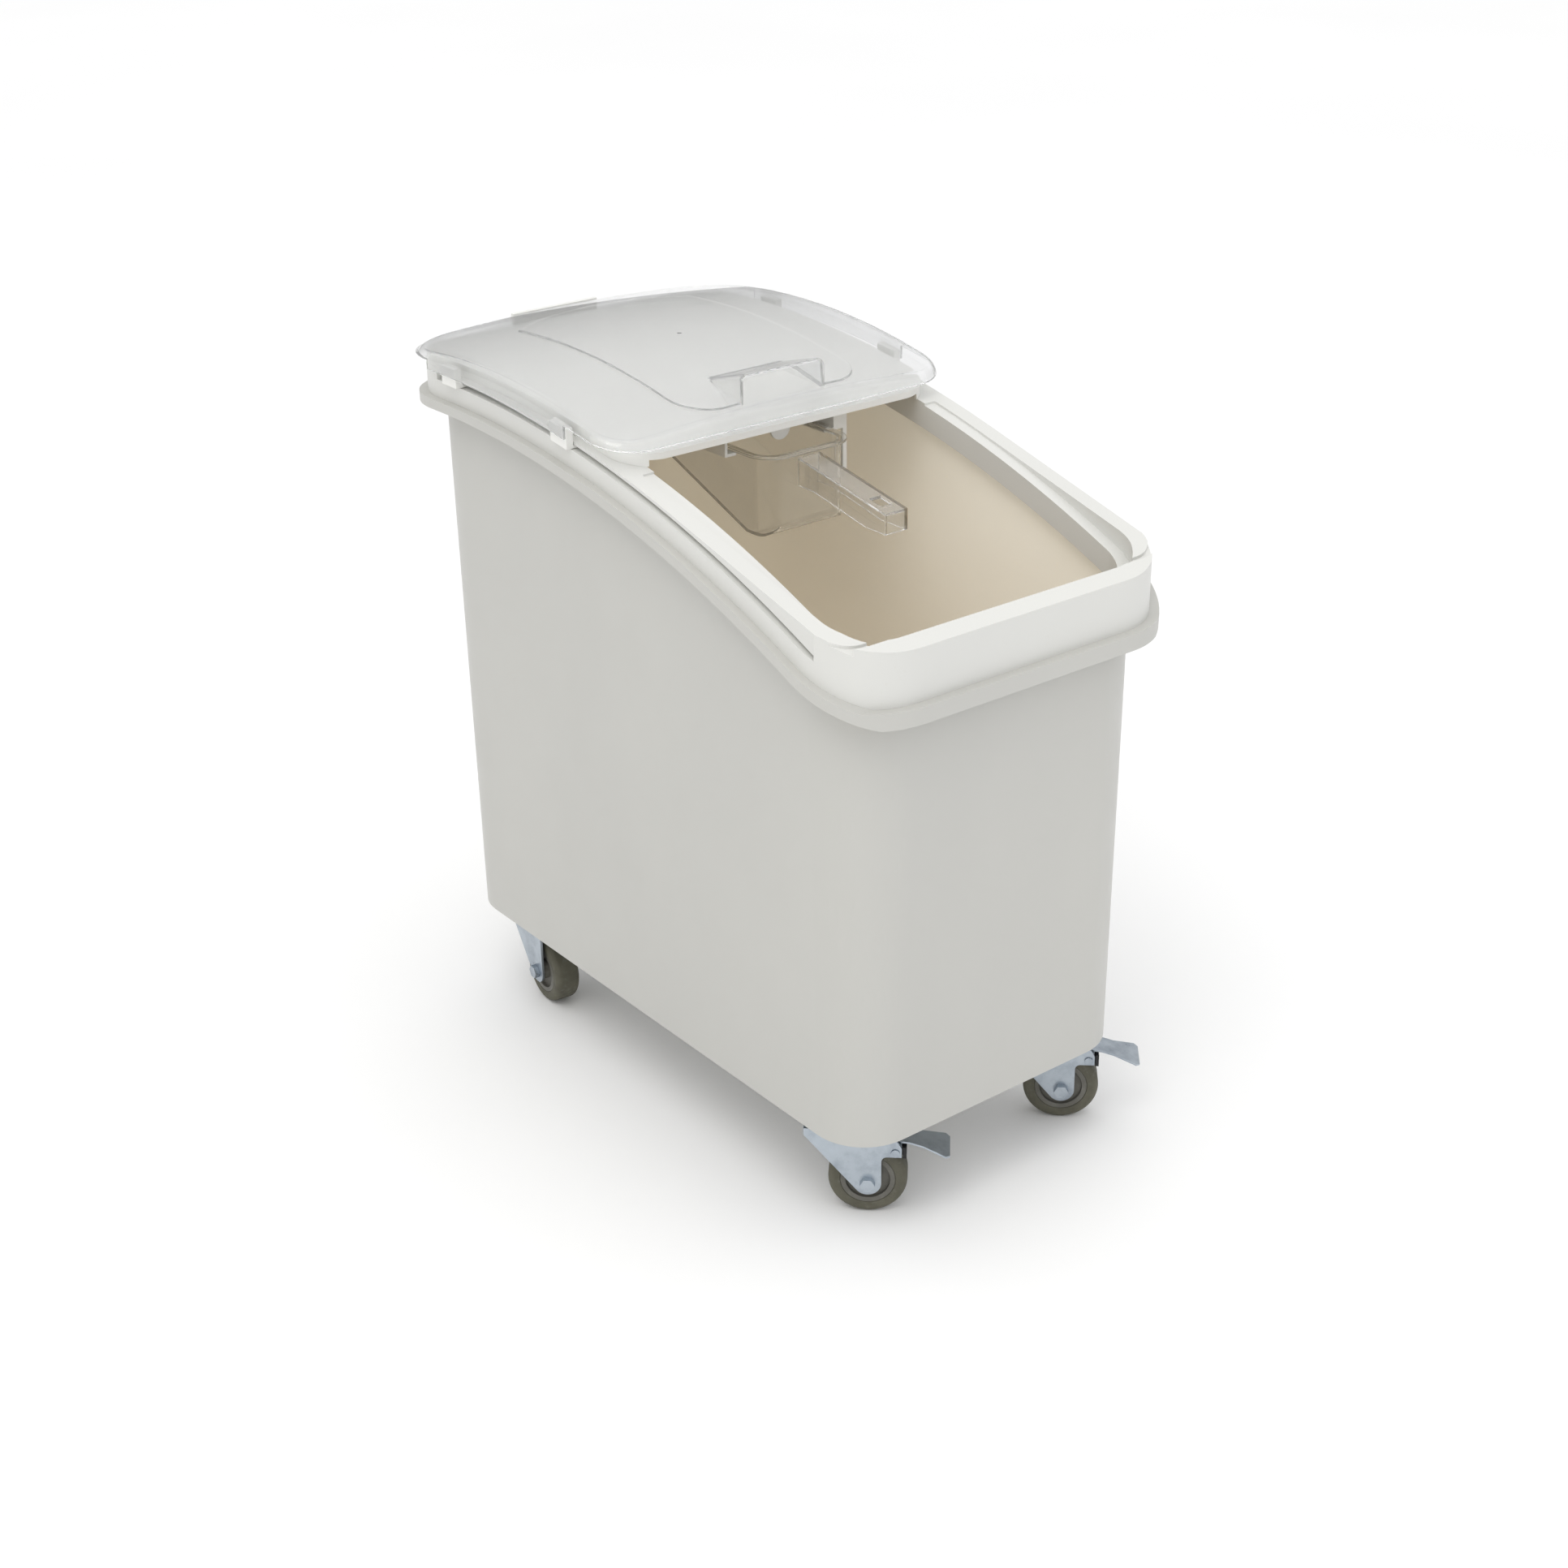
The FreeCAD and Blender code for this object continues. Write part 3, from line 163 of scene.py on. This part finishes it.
def white_plastic(name, light, dark, painted_inner_shade_and_light=None, glow=None):
    """Off-white polypropylene: a satin skin with fine grain, flow marks and a few grey scuffs.

    Of the last two arguments, the first gives painted shade and light on the inner walls, dark tan at
    the bin's left to pale cream at its right; the second a painted glow, an emission standing in for
    daylight coming through those walls, likewise from left to right.
    """
    m = Shader(name, 0.42, Specular_IOR_Level=0.42, Coat_Weight=0.08, Coat_Roughness=0.22)
    flow = m.noise(3.2, 4.0, (1, 1, 0.45))
    colour = m.ramp(flow, [(0.3, dark), (0.72, light)])
    if painted_inner_shade_and_light:
        inner = painted_inner_mask(m)
        # Position across the bin, wobbled by noise, sets where the painted inner shade turns into
        # painted light.
        place = m.add("ShaderNodeSeparateXYZ", {0: m.add("ShaderNodeTexCoord").outputs["Object"]})
        drift = m.span(m.noise(2.4, 3.0), 0.3, 0.7, -0.03, 0.03)
        across = m.span(m.math("ADD", place.outputs[0], drift), -0.15, 0.18)
        # The inner walls and floor get painted shade and light in place of the plain tone: darker tan
        # towards the bin's left, pale cream towards its right.
        colour = m.mix(inner, colour, m.mix(across, *painted_inner_shade_and_light))
        # Painted glow: emission on the inner walls that stands in for daylight coming through the
        # plastic, stronger towards the bin's right.
        m.link(m.mix(inner, (0.0, 0.0, 0.0), m.mix(across, *glow)), "Emission Color")
        m.shader.inputs["Emission Strength"].default_value = 1.0
    speckle = m.span(m.noise(260.0, 2.0), 0.66, 0.74)
    colour = m.mix(m.math("MULTIPLY", speckle, 0.08), colour, (0.60, 0.56, 0.46))
    scuffs = m.span(m.noise(26.0, 6.0, (1, 1, 6.0), 0.7), 0.70, 0.80)
    colour = m.mix(m.math("MULTIPLY", scuffs, 0.08), colour, (0.42, 0.41, 0.38))
    m.link(colour, "Base Color")
    m.link(m.span(m.noise(14.0, 5.0), 0.3, 0.75, 0.36, 0.50), "Roughness")
    m.bump([(m.noise(900.0, 2.0), 0.10, 0.0002), (m.noise(38.0, 2.0), 0.10, 0.0006)])
    return m.material


def clear_plastic(name, tint):
    """Clear moulded styrene: glossy and slightly grey, with faint scratches and handling haze."""
    m = Shader(name, 0.04, Transmission_Weight=1.0, IOR=1.42, Specular_IOR_Level=0.5, Alpha=0.84)
    haze = m.noise(7.0, 5.0, (1, 1, 1), 0.6)
    scratch = m.span(m.noise(46.0, 3.0, (0.12, 1.6, 1.0), 0.5), 0.66, 0.72)
    m.link(m.ramp(haze, [(0.35, tint), (0.75, tuple(c * 0.985 for c in tint))]), "Base Color")
    rough = m.span(haze, 0.4, 0.75, 0.015, 0.05)
    m.link(m.math("ADD", rough, m.math("MULTIPLY", scratch, 0.05)), "Roughness")
    m.bump([(m.noise(22.0, 1.0), 0.05, 0.0004)])
    return m.material


def plated(name, colour, stain, roughness):
    """Plated pressed steel: fine rolling lines, cloudy passivation and darker handling marks."""
    m = Shader(name, roughness, Metallic=1.0)
    cloud = m.noise(34.0, 5.0, (1, 1, 1), 0.65)
    bright = tuple(min(1.0, c * 1.1) for c in colour)
    m.link(m.ramp(cloud, [(0.30, stain), (0.55, colour), (0.8, bright)]), "Base Color")
    lines = m.noise(60.0, 3.0, (1, 1, 14.0))
    patches = m.span(cloud, 0.3, 0.8, -0.05, 0.10)
    spread = m.math("ADD", patches, m.span(lines, 0.3, 0.8, -0.03, 0.05))
    m.link(m.math("ADD", spread, roughness), "Roughness")
    m.bump([(lines, 0.12, 0.0001), (m.noise(420.0, 2.0), 0.06, 0.0001)])
    return m.material


def dull(name, light, dark, roughness, grain, relief):
    """Rubber or nylon: two close tones, a fine grain and dust in the open surface."""
    m = Shader(name, roughness, Specular_IOR_Level=0.35)
    tone = m.ramp(m.noise(48.0, 5.0), [(0.3, dark), (0.75, light)])
    dust = m.span(m.noise(130.0, 3.0), 0.60, 0.75)
    m.link(m.mix(m.math("MULTIPLY", dust, 0.12), tone, (0.45, 0.44, 0.40)), "Base Color")
    m.link(m.span(m.noise(60.0, 3.0), 0.3, 0.75, roughness - 0.06, roughness + 0.1), "Roughness")
    m.bump([(m.noise(grain, 3.0), relief, 0.0002)])
    return m.material


MATERIALS = {
    "white_plastic": white_plastic("white_plastic", (0.84, 0.84, 0.81), (0.81, 0.81, 0.78)),
    "rim_plastic": white_plastic("rim_plastic", (0.70, 0.70, 0.67), (0.675, 0.675, 0.65)),
    "tub_plastic": white_plastic(
        "tub_plastic",
        (0.545, 0.541, 0.51),
        (0.52, 0.517, 0.49),
        # painted shade on the left inner walls, painted light on the right
        painted_inner_shade_and_light=((0.62, 0.51, 0.36), (0.93, 0.90, 0.82)),
        # painted glow: emission on the inner walls, stronger on the right
        glow=((0.010, 0.008, 0.005), (0.16, 0.15, 0.125)),
    ),
    "clear_plastic": clear_plastic("clear_plastic", (0.985, 0.99, 0.995)),
    "zinc": plated("zinc", (0.46, 0.51, 0.56), (0.30, 0.34, 0.39), 0.32),
    "steel": plated("steel", (0.60, 0.60, 0.61), (0.40, 0.40, 0.41), 0.22),
    "grey_plastic": dull(
        "grey_plastic",
        (0.17, 0.165, 0.145),
        (0.12, 0.116, 0.10),
        roughness=0.45,
        grain=500.0,
        relief=0.12,
    ),
    "grey_rubber": dull(
        "grey_rubber",
        (0.135, 0.13, 0.095),
        (0.085, 0.082, 0.06),
        roughness=0.62,
        grain=700.0,
        relief=0.25,
    ),
    "black_plastic": dull(
        "black_plastic",
        (0.022, 0.022, 0.023),
        (0.010, 0.010, 0.011),
        roughness=0.40,
        grain=600.0,
        relief=0.15,
    ),
}


# ---------------------------------------------------------------- carried-over CAD nodes


SHARP = math.radians(32)  # an edge that turns more than this is rounded, and shaded sharp
FLAT = math.radians(0.4)  # faces that turn less than this are one flat face
WELD = 0.00001  # vertices closer than this are one


def smooth_by_angle():
    """A node group that shades everything smooth except sharp edges."""
    group = bpy.data.node_groups.new("smooth_by_angle", "GeometryNodeTree")
    group.interface.new_socket("Geometry", in_out="INPUT", socket_type="NodeSocketGeometry")
    group.interface.new_socket("Geometry", in_out="OUTPUT", socket_type="NodeSocketGeometry")
    start = group.nodes.new("NodeGroupInput")
    end = group.nodes.new("NodeGroupOutput")
    angle = group.nodes.new("GeometryNodeInputMeshEdgeAngle")
    flat = group.nodes.new("FunctionNodeCompare")
    flat.operation = "LESS_THAN"
    flat.inputs[1].default_value = SHARP
    faces = group.nodes.new("GeometryNodeSetShadeSmooth")
    edges = group.nodes.new("GeometryNodeSetShadeSmooth")
    edges.domain = "EDGE"
    group.links.new(start.outputs[0], faces.inputs["Geometry"])
    group.links.new(faces.outputs[0], edges.inputs["Geometry"])
    group.links.new(angle.outputs["Unsigned Angle"], flat.inputs[0])
    group.links.new(flat.outputs[0], edges.inputs["Shade Smooth"])
    group.links.new(edges.outputs[0], end.inputs[0])
    return group


SMOOTH = smooth_by_angle()
ROUNDING = {  # the radius of each node's moulded, pressed or machined edges
    "tub": 0.0012,
    "collar": 0.0010,
    "rear_deck": 0.0010,
    "lid_stop": 0.0012,
    "scoop": 0.0006,
    "scoop_hanger": 0.0008,
    "lid_guide_shoes": 0.0008,
    "plate": 0.0005,
    "fork": 0.0006,
    "brake_pedal": 0.0005,
    "brake_shoe": 0.0008,
    "hub": 0.0005,
    "tyre": 0.0010,
}
SMALL_ROUNDING = 0.0003  # every other node's


def even_shading(piece):
    """Smooth shading that stops at sharp edges."""
    smooth = piece.modifiers.new("smooth_by_angle", "NODES")
    smooth.node_group = SMOOTH
    shade = piece.modifiers.new("even_shading", "WEIGHTED_NORMAL")
    shade.keep_sharp = True


def round_edges(node, width):
    """Edges of a carried-over node get a small radius and even shading."""
    weld = node.modifiers.new("weld", "WELD")
    weld.merge_threshold = WELD
    flat = node.modifiers.new("flat_faces", "DECIMATE")
    flat.decimate_type = "DISSOLVE"
    flat.angle_limit = FLAT
    bevel = node.modifiers.new("edge_radius", "BEVEL")
    bevel.width = width
    bevel.segments = 3
    bevel.limit_method = "ANGLE"
    bevel.angle_limit = SHARP
    bevel.use_clamp_overlap = True
    even_shading(node)


SLOTS = {entry["node"]: entry["material_slot"] for entry in frame["record"]["subparts"]}
SHADES = {"tub": "tub_plastic", "collar": "rim_plastic"}  # nodes with a tone of their own
for name, node in nodes.items():
    node.data.materials.clear()
    node.data.materials.append(MATERIALS[SHADES.get(name, SLOTS[name])])
    kind = name.split("_", 2)[2] if name.startswith("caster_") else name
    round_edges(node, ROUNDING.get(kind, SMALL_ROUNDING))


# ---------------------------------------------------------------- clear lid

HALF, FRONT, REAR = 0.2013, -0.0320, 0.3625
FRONT_CORNER, REAR_CORNER = 0.042, 0.078
# The wall is 0.2 mm under the solid's, so that the inner skin stays off the shoes' outer faces.
LID_WALL, SHOULDER = 0.0024, 0.009
CROWN_Y, CROWN_Z, BOW, CAMBER = 0.190, 0.741, 0.912, 2.350
SLIDE_Y, SLIDE_Z = 0.245, -0.6955
SKIRT_STEP = 0.046  # the side skirt hangs lower behind this Y
SKIRT_FRONT, SKIRT_SIDE, SKIRT_REAR = 1.421, 1.408, 1.4173  # the lower edge's radii about the slide axis
JUMP = 0.0001  # the lower edge goes from one radius to the next over twice this
PANEL_HALF, PANEL_FRONT, PANEL_SIDE, PANEL_REAR = 0.105, -0.019, 0.270, 0.308
PANEL_CORNER, PANEL_RISE, PANEL_EDGE = 0.040, 0.0012, 0.0016
PANEL_RINGS = (0.0, 0.0004, 0.0008, 0.0012, 0.0016)  # mesh loops across the panel's sloping edge
PANEL_REAR_POINTS = 30
GRIP_HALF, GRIP_FRONT, GRIP_REAR = 0.0485, -0.0205, 0.038
GRIP_TOP, GRIP_TAIL, GRIP_BEND, GRIP_NOSE = 0.744, 0.728, 0.008, 0.003
GRIP_WALL = 0.0002  # the grip's front and sides rise over this width
GATE_Y, GATE_RADIUS, GATE_RISE, GATE_EDGE = 0.143, 0.0026, 0.0007, 0.0012  # the moulding's gate mark
GATE_RINGS = (0.0014, 0.0018, 0.0022, 0.0026)


def steps(low, high, size):
    """Even stations from low to high, no further apart than a size."""
    count = max(1, math.ceil((high - low) / size))
    return [low + (high - low) * k / count for k in range(count + 1)]


def arc(x, y, radius, start, end, count=12):
    """Points of an arc after its first, to its last; angles in degrees."""
    angles = [math.radians(start + (end - start) * k / count) for k in range(1, count + 1)]
    return [(x + radius * math.cos(a), y + radius * math.sin(a)) for a in angles]


def soft_step(x):
    """0 up to 0, 1 from 1, and a smooth rise between."""
    x = min(max(x, 0.0), 1.0)
    return x * x * (3 - 2 * x)


def crown_height(x, y, inset):
    """The cover's crowned surface, moved inward by an inset."""
    radius = BOW - inset - CAMBER + math.sqrt(CAMBER**2 - x * x)
    return CROWN_Z - BOW + math.sqrt(radius**2 - (y - CROWN_Y) ** 2)


def panel_bow():
    """The radius of the raised panel's curved rear edge, and the Y of its centre."""
    rise = PANEL_REAR - PANEL_SIDE
    radius = (PANEL_HALF**2 + rise**2) / (2 * rise)
    return radius, PANEL_REAR - radius


def panel_depth(x, y):
    """How far a point lies inside the raised panel's outline."""
    radius, centre = panel_bow()
    depth = min(PANEL_HALF - abs(x), y - PANEL_FRONT)
    if y > PANEL_SIDE - 0.02:
        depth = min(depth, radius - math.hypot(x, y - centre))
    across, along = abs(x) - (PANEL_HALF - PANEL_CORNER), PANEL_FRONT + PANEL_CORNER - y
    if across > 0 and along > 0:
        depth = min(depth, PANEL_CORNER - math.hypot(across, along))
    return depth


def grip_height(x, y, inset):
    """The finger grip's skin: a ramp up to an upright front, with rounded upper edges."""
    half, front, top = GRIP_HALF - inset, GRIP_FRONT + inset, GRIP_TOP - inset
    if abs(x) > half or y < front or y > GRIP_REAR:
        return 0.0
    height = top + (GRIP_TAIL - GRIP_TOP) * (y - front) / (GRIP_REAR - front)
    bend = GRIP_BEND - inset
    over = abs(x) - (half - bend)
    if over > 0:
        height -= bend - math.sqrt(max(bend**2 - over**2, 0.0))
    nose = GRIP_NOSE - inset * 0.5
    ahead = front + nose - y
    if ahead > 0:
        height -= nose - math.sqrt(max(nose**2 - ahead**2, 0.0))
    return height


def cover_height(x, y, inset):
    """The top of the cover; only its outer skin has the raised panel and the gate mark."""
    height = crown_height(x, y, inset)
    if inset == 0:
        height += PANEL_RISE * soft_step(panel_depth(x, y) / PANEL_EDGE)
        height += GATE_RISE * soft_step((GATE_RADIUS - math.hypot(x, y - GATE_Y)) / GATE_EDGE)
    return max(height, grip_height(x, y, inset))


def cover_outline(inset):
    """(x, y) points round the cover, anticlockwise; the same count for every inset."""
    front, rear = FRONT + FRONT_CORNER, REAR - REAR_CORNER
    side = steps(front, SKIRT_STEP - JUMP, 0.01)
    side += steps(SKIRT_STEP + JUMP, rear - 2 * JUMP, 0.012) + [rear]
    edge_front = steps(-(HALF - FRONT_CORNER), HALF - FRONT_CORNER, 0.012)
    edge_rear = steps(-(HALF - REAR_CORNER), HALF - REAR_CORNER, 0.012)
    points = [(x, FRONT + inset) for x in edge_front]
    points += arc(HALF - FRONT_CORNER, front, FRONT_CORNER - inset, -90, 0)
    points += [(HALF - inset, y) for y in side[1:]]
    points += arc(HALF - REAR_CORNER, rear, REAR_CORNER - inset, 0, 90)
    points += [(x, REAR - inset) for x in reversed(edge_rear[:-1])]
    points += arc(-(HALF - REAR_CORNER), rear, REAR_CORNER - inset, 90, 180)
    points += [(-(HALF - inset), y) for y in reversed(side[:-1])]
    points += arc(-(HALF - FRONT_CORNER), front, FRONT_CORNER - inset, 180, 270)[:-1]
    return points


def skirt_level(y):
    """The height of the cover's lower edge: an arc about the slide axis in three stretches."""
    if y < SKIRT_STEP:
        radius = SKIRT_FRONT
    elif y < REAR - REAR_CORNER - JUMP:
        radius = SKIRT_SIDE
    else:
        radius = SKIRT_REAR
    return SLIDE_Z + math.sqrt(radius**2 - (y - SLIDE_Y) ** 2)


def panel_loop(depth):
    """The raised panel's outline, moved inward."""
    radius, centre = panel_bow()
    half, front, corner = PANEL_HALF - depth, PANEL_FRONT + depth, PANEL_CORNER - depth
    turn, bow = PANEL_FRONT + PANEL_CORNER, radius - depth
    swing = math.asin(half / bow)
    points = [(x, front) for x in steps(-(PANEL_HALF - PANEL_CORNER), PANEL_HALF - PANEL_CORNER, 0.006)]
    points += arc(PANEL_HALF - PANEL_CORNER, turn, corner, -90, 0, 20)
    points += [(half, y) for y in steps(turn, centre + bow * math.cos(swing), 0.008)[1:]]
    rear = [swing * (1 - 2 * k / PANEL_REAR_POINTS) for k in range(1, PANEL_REAR_POINTS + 1)]
    points += [(bow * math.sin(a), centre + bow * math.cos(a)) for a in rear]
    points += [(-half, y) for y in reversed(steps(turn, centre + bow * math.cos(swing), 0.008)[:-1])]
    points += arc(-(PANEL_HALF - PANEL_CORNER), turn, corner, 180, 270, 20)[:-1]
    return points


def cover_plan(inset):
    """Points, constrained edges and the outer loop for the cover's top, seen from above."""
    points, edges = [], []

    def close(loop):
        first = len(points)
        points.extend(loop)
        edges.extend((first + k, first + (k + 1) % len(loop)) for k in range(len(loop)))

    close(cover_outline(SHOULDER))
    outer = list(range(len(points)))
    if inset == 0:
        for depth in PANEL_RINGS:
            close(panel_loop(depth))
        for radius in GATE_RINGS:
            close(arc(0, GATE_Y, radius, 0, 360, 20))
    half, front = GRIP_HALF - inset, GRIP_FRONT + inset
    # Stations over the grip, closer together where its edges are rounded.
    in_from_side = [0.0, 0.0002, 0.0006, 0.0012, 0.002, 0.003, 0.0042, 0.0056, GRIP_BEND - inset]
    in_from_front = [0.0, 0.0002, 0.0005, 0.001, 0.0016, 0.0023, 0.003]
    across = [-half + d for d in in_from_side] + steps(-half + 0.01, half - 0.01, 0.004)
    across += [half - d for d in reversed(in_from_side)]
    along = [front + d for d in in_from_front] + steps(front + 0.005, GRIP_REAR + 0.004, 0.0025)
    for x in (-half, half, -half - GRIP_WALL, half + GRIP_WALL):
        first = len(points)
        points.extend((x, y) for y in along)
        edges.extend((first + k, first + k + 1) for k in range(len(along) - 1))
    for y in (front - GRIP_WALL, front, front + GRIP_WALL):
        first = len(points)
        points.extend((x, y) for x in across)
        edges.extend((first + k, first + k + 1) for k in range(len(across) - 1))
    points.extend((x, y) for x in across[1:-1] for y in along[2:])
    reach = HALF - SHOULDER - 0.004
    points.extend(
        (x, y)
        for x in steps(-reach, reach, 0.009)
        for y in steps(FRONT + SHOULDER + 0.004, REAR - SHOULDER - 0.004, 0.009)
        if not (abs(x) < half + 0.003 and y < GRIP_REAR + 0.003) and inside_cover(x, y)
    )
    return points, edges, outer


def inside_cover(x, y):
    """True well inside the cover's flat outline, clear of its rounded shoulder."""
    near_front = y < 0.1
    corner = FRONT_CORNER if near_front else REAR_CORNER
    turn = FRONT + FRONT_CORNER if near_front else REAR - REAR_CORNER
    beyond = abs(y - turn) if (y < turn) == near_front else 0.0
    return math.hypot(max(abs(x) - (HALF - corner), 0.0), beyond) < corner - SHOULDER - 0.003


def cover_skin(mesh, inset):
    """One skin of the cover, from its lower edge over the shoulder to its top.

    Gives the lower edge's vertices.
    """
    bend = SHOULDER - inset
    rings = []
    for turn in [None, None] + [k * math.pi / 16 for k in range(9)]:
        ring = []
        for x, y in cover_outline(inset + (bend * (1 - math.cos(turn)) if turn else 0.0)):
            top = crown_height(x, y, inset) - bend
            level = skirt_level(y)  # nothing hangs below this, so that the lid clears the deck
            if turn is None:
                height = level if len(rings) == 0 else (level + top) / 2
            else:
                height = top + bend * math.sin(turn)
            ring.append(mesh.verts.new((x, y, max(height, level))))
        rings.append(ring)
    for lower, upper in zip(rings, rings[1:]):
        for k in range(len(lower)):
            after = (k + 1) % len(lower)
            mesh.faces.new((lower[k], lower[after], upper[after], upper[k]))
    points, edges, outer = cover_plan(inset)
    flat = delaunay_2d_cdt([Vector(p) for p in points], edges, [outer], 1, 1e-7)
    verts = []
    for x, y in flat[0]:
        height = max(cover_height(x, y, inset), skirt_level(y))
        verts.append(mesh.verts.new((x, y, height)))
    for corners in flat[2]:
        mesh.faces.new([verts[k] for k in corners])
    return rings[0]


def add_piece(name, mesh, body, material, *replaced):
    """A finished mesh becomes a piece that rides on a body and stands for CAD nodes."""
    bmesh.ops.remove_doubles(mesh, verts=mesh.verts, dist=2e-6)
    bmesh.ops.recalc_face_normals(mesh, faces=mesh.faces)
    data = bpy.data.meshes.new(name)
    mesh.to_mesh(data)
    mesh.free()
    data.polygons.foreach_set("use_smooth", [True] * len(data.polygons))
    data.materials.append(MATERIALS[material])
    piece = bpy.data.objects.new(name, data)
    scene.collection.objects.link(piece)
    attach(piece, body)
    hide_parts(*replaced)
    return piece


def make_cover():
    """The clear lid: an outer and an inner skin, joined along their lower edges."""
    mesh = bmesh.new()
    outer = cover_skin(mesh, 0.0)
    inner = cover_skin(mesh, LID_WALL)
    for k in range(len(outer)):
        after = (k + 1) % len(outer)
        mesh.faces.new((outer[k], outer[after], inner[after], inner[k]))
    even_shading(add_piece("lid_cover", mesh, "lid", "clear_plastic", "sliding_lid"))


make_cover()


# ---------------------------------------------------------------- stage, light and camera


FLOOR_HALF = 30.0
LIGHT_TARGET = (0, 0, 0.4)
HORIZON, ZENITH = 0.27, 1.50  # the world's brightness


def flat_floor(name):
    """A square on the floor plane, round the origin."""
    mesh = bpy.data.meshes.new(name)
    corners = [(-1, -1), (1, -1), (1, 1), (-1, 1)]
    mesh.from_pydata([(x * FLOOR_HALF, y * FLOOR_HALF, 0) for x, y in corners], [], [(0, 1, 2, 3)])
    obj = bpy.data.objects.new(name, mesh)
    scene.collection.objects.link(obj)
    return obj


def softbox(name, energy, size, location, colour):
    """A square area light that faces the bin's middle."""
    light = bpy.data.lights.new(name, "AREA")
    light.energy = energy
    light.size = size
    light.color = colour
    lamp = bpy.data.objects.new(name, light)
    lamp.location = location
    lamp.rotation_euler = (Vector(LIGHT_TARGET) - Vector(location)).to_track_quat("-Z", "Y").to_euler()
    scene.collection.objects.link(lamp)


floor = flat_floor("studio_floor")
paint = Shader("studio_floor", 0.9, Specular_IOR_Level=0.1)
paint.link(paint.ramp(paint.noise(0.6, 2.0), [(0.3, 0.91), (0.7, 0.93)]), "Base Color")
floor.data.materials.append(paint.material)

world = bpy.data.worlds.new("studio")
world.use_nodes = True
sky = world.node_tree.nodes
height = sky.new("ShaderNodeSeparateXYZ")
glow = sky.new("ShaderNodeMapRange")
glow.inputs["To Min"].default_value = HORIZON
glow.inputs["To Max"].default_value = ZENITH
world.node_tree.links.new(sky.new("ShaderNodeTexCoord").outputs["Generated"], height.inputs[0])
world.node_tree.links.new(height.outputs[2], glow.inputs["Value"])
world.node_tree.links.new(glow.outputs[0], sky["Background"].inputs["Strength"])
sky["Background"].inputs["Color"].default_value = (1.0, 1.0, 1.0, 1)
scene.world = world
softbox("key_left", 16, 1.4, (-1.6, -0.8, 3.2), (1.0, 0.985, 0.95))
softbox("fill_corner", 8, 1.0, (-2.4, -2.3, 0.9), (1.0, 0.99, 0.95))
softbox("fill_front", 4, 1.4, (0.9, -3.0, 1.0), (0.84, 0.86, 1.0))

lens = bpy.data.cameras.new("camera")
lens.sensor_width = 36.0
lens.lens = 54.83
camera = bpy.data.objects.new("camera", lens)
camera.location = (-1.32005, -1.71426, 1.35583)
yaw, pitch, roll = math.radians(37.80), math.radians(25.84), math.radians(-0.80)
aim = Euler((math.pi / 2 - pitch, 0, -yaw), "XYZ").to_matrix()
aim = aim @ Euler((0, 0, roll), "XYZ").to_matrix()
camera.rotation_euler = aim.to_euler()
scene.collection.objects.link(camera)
scene.camera = camera
scene.view_settings.view_transform = "Standard"
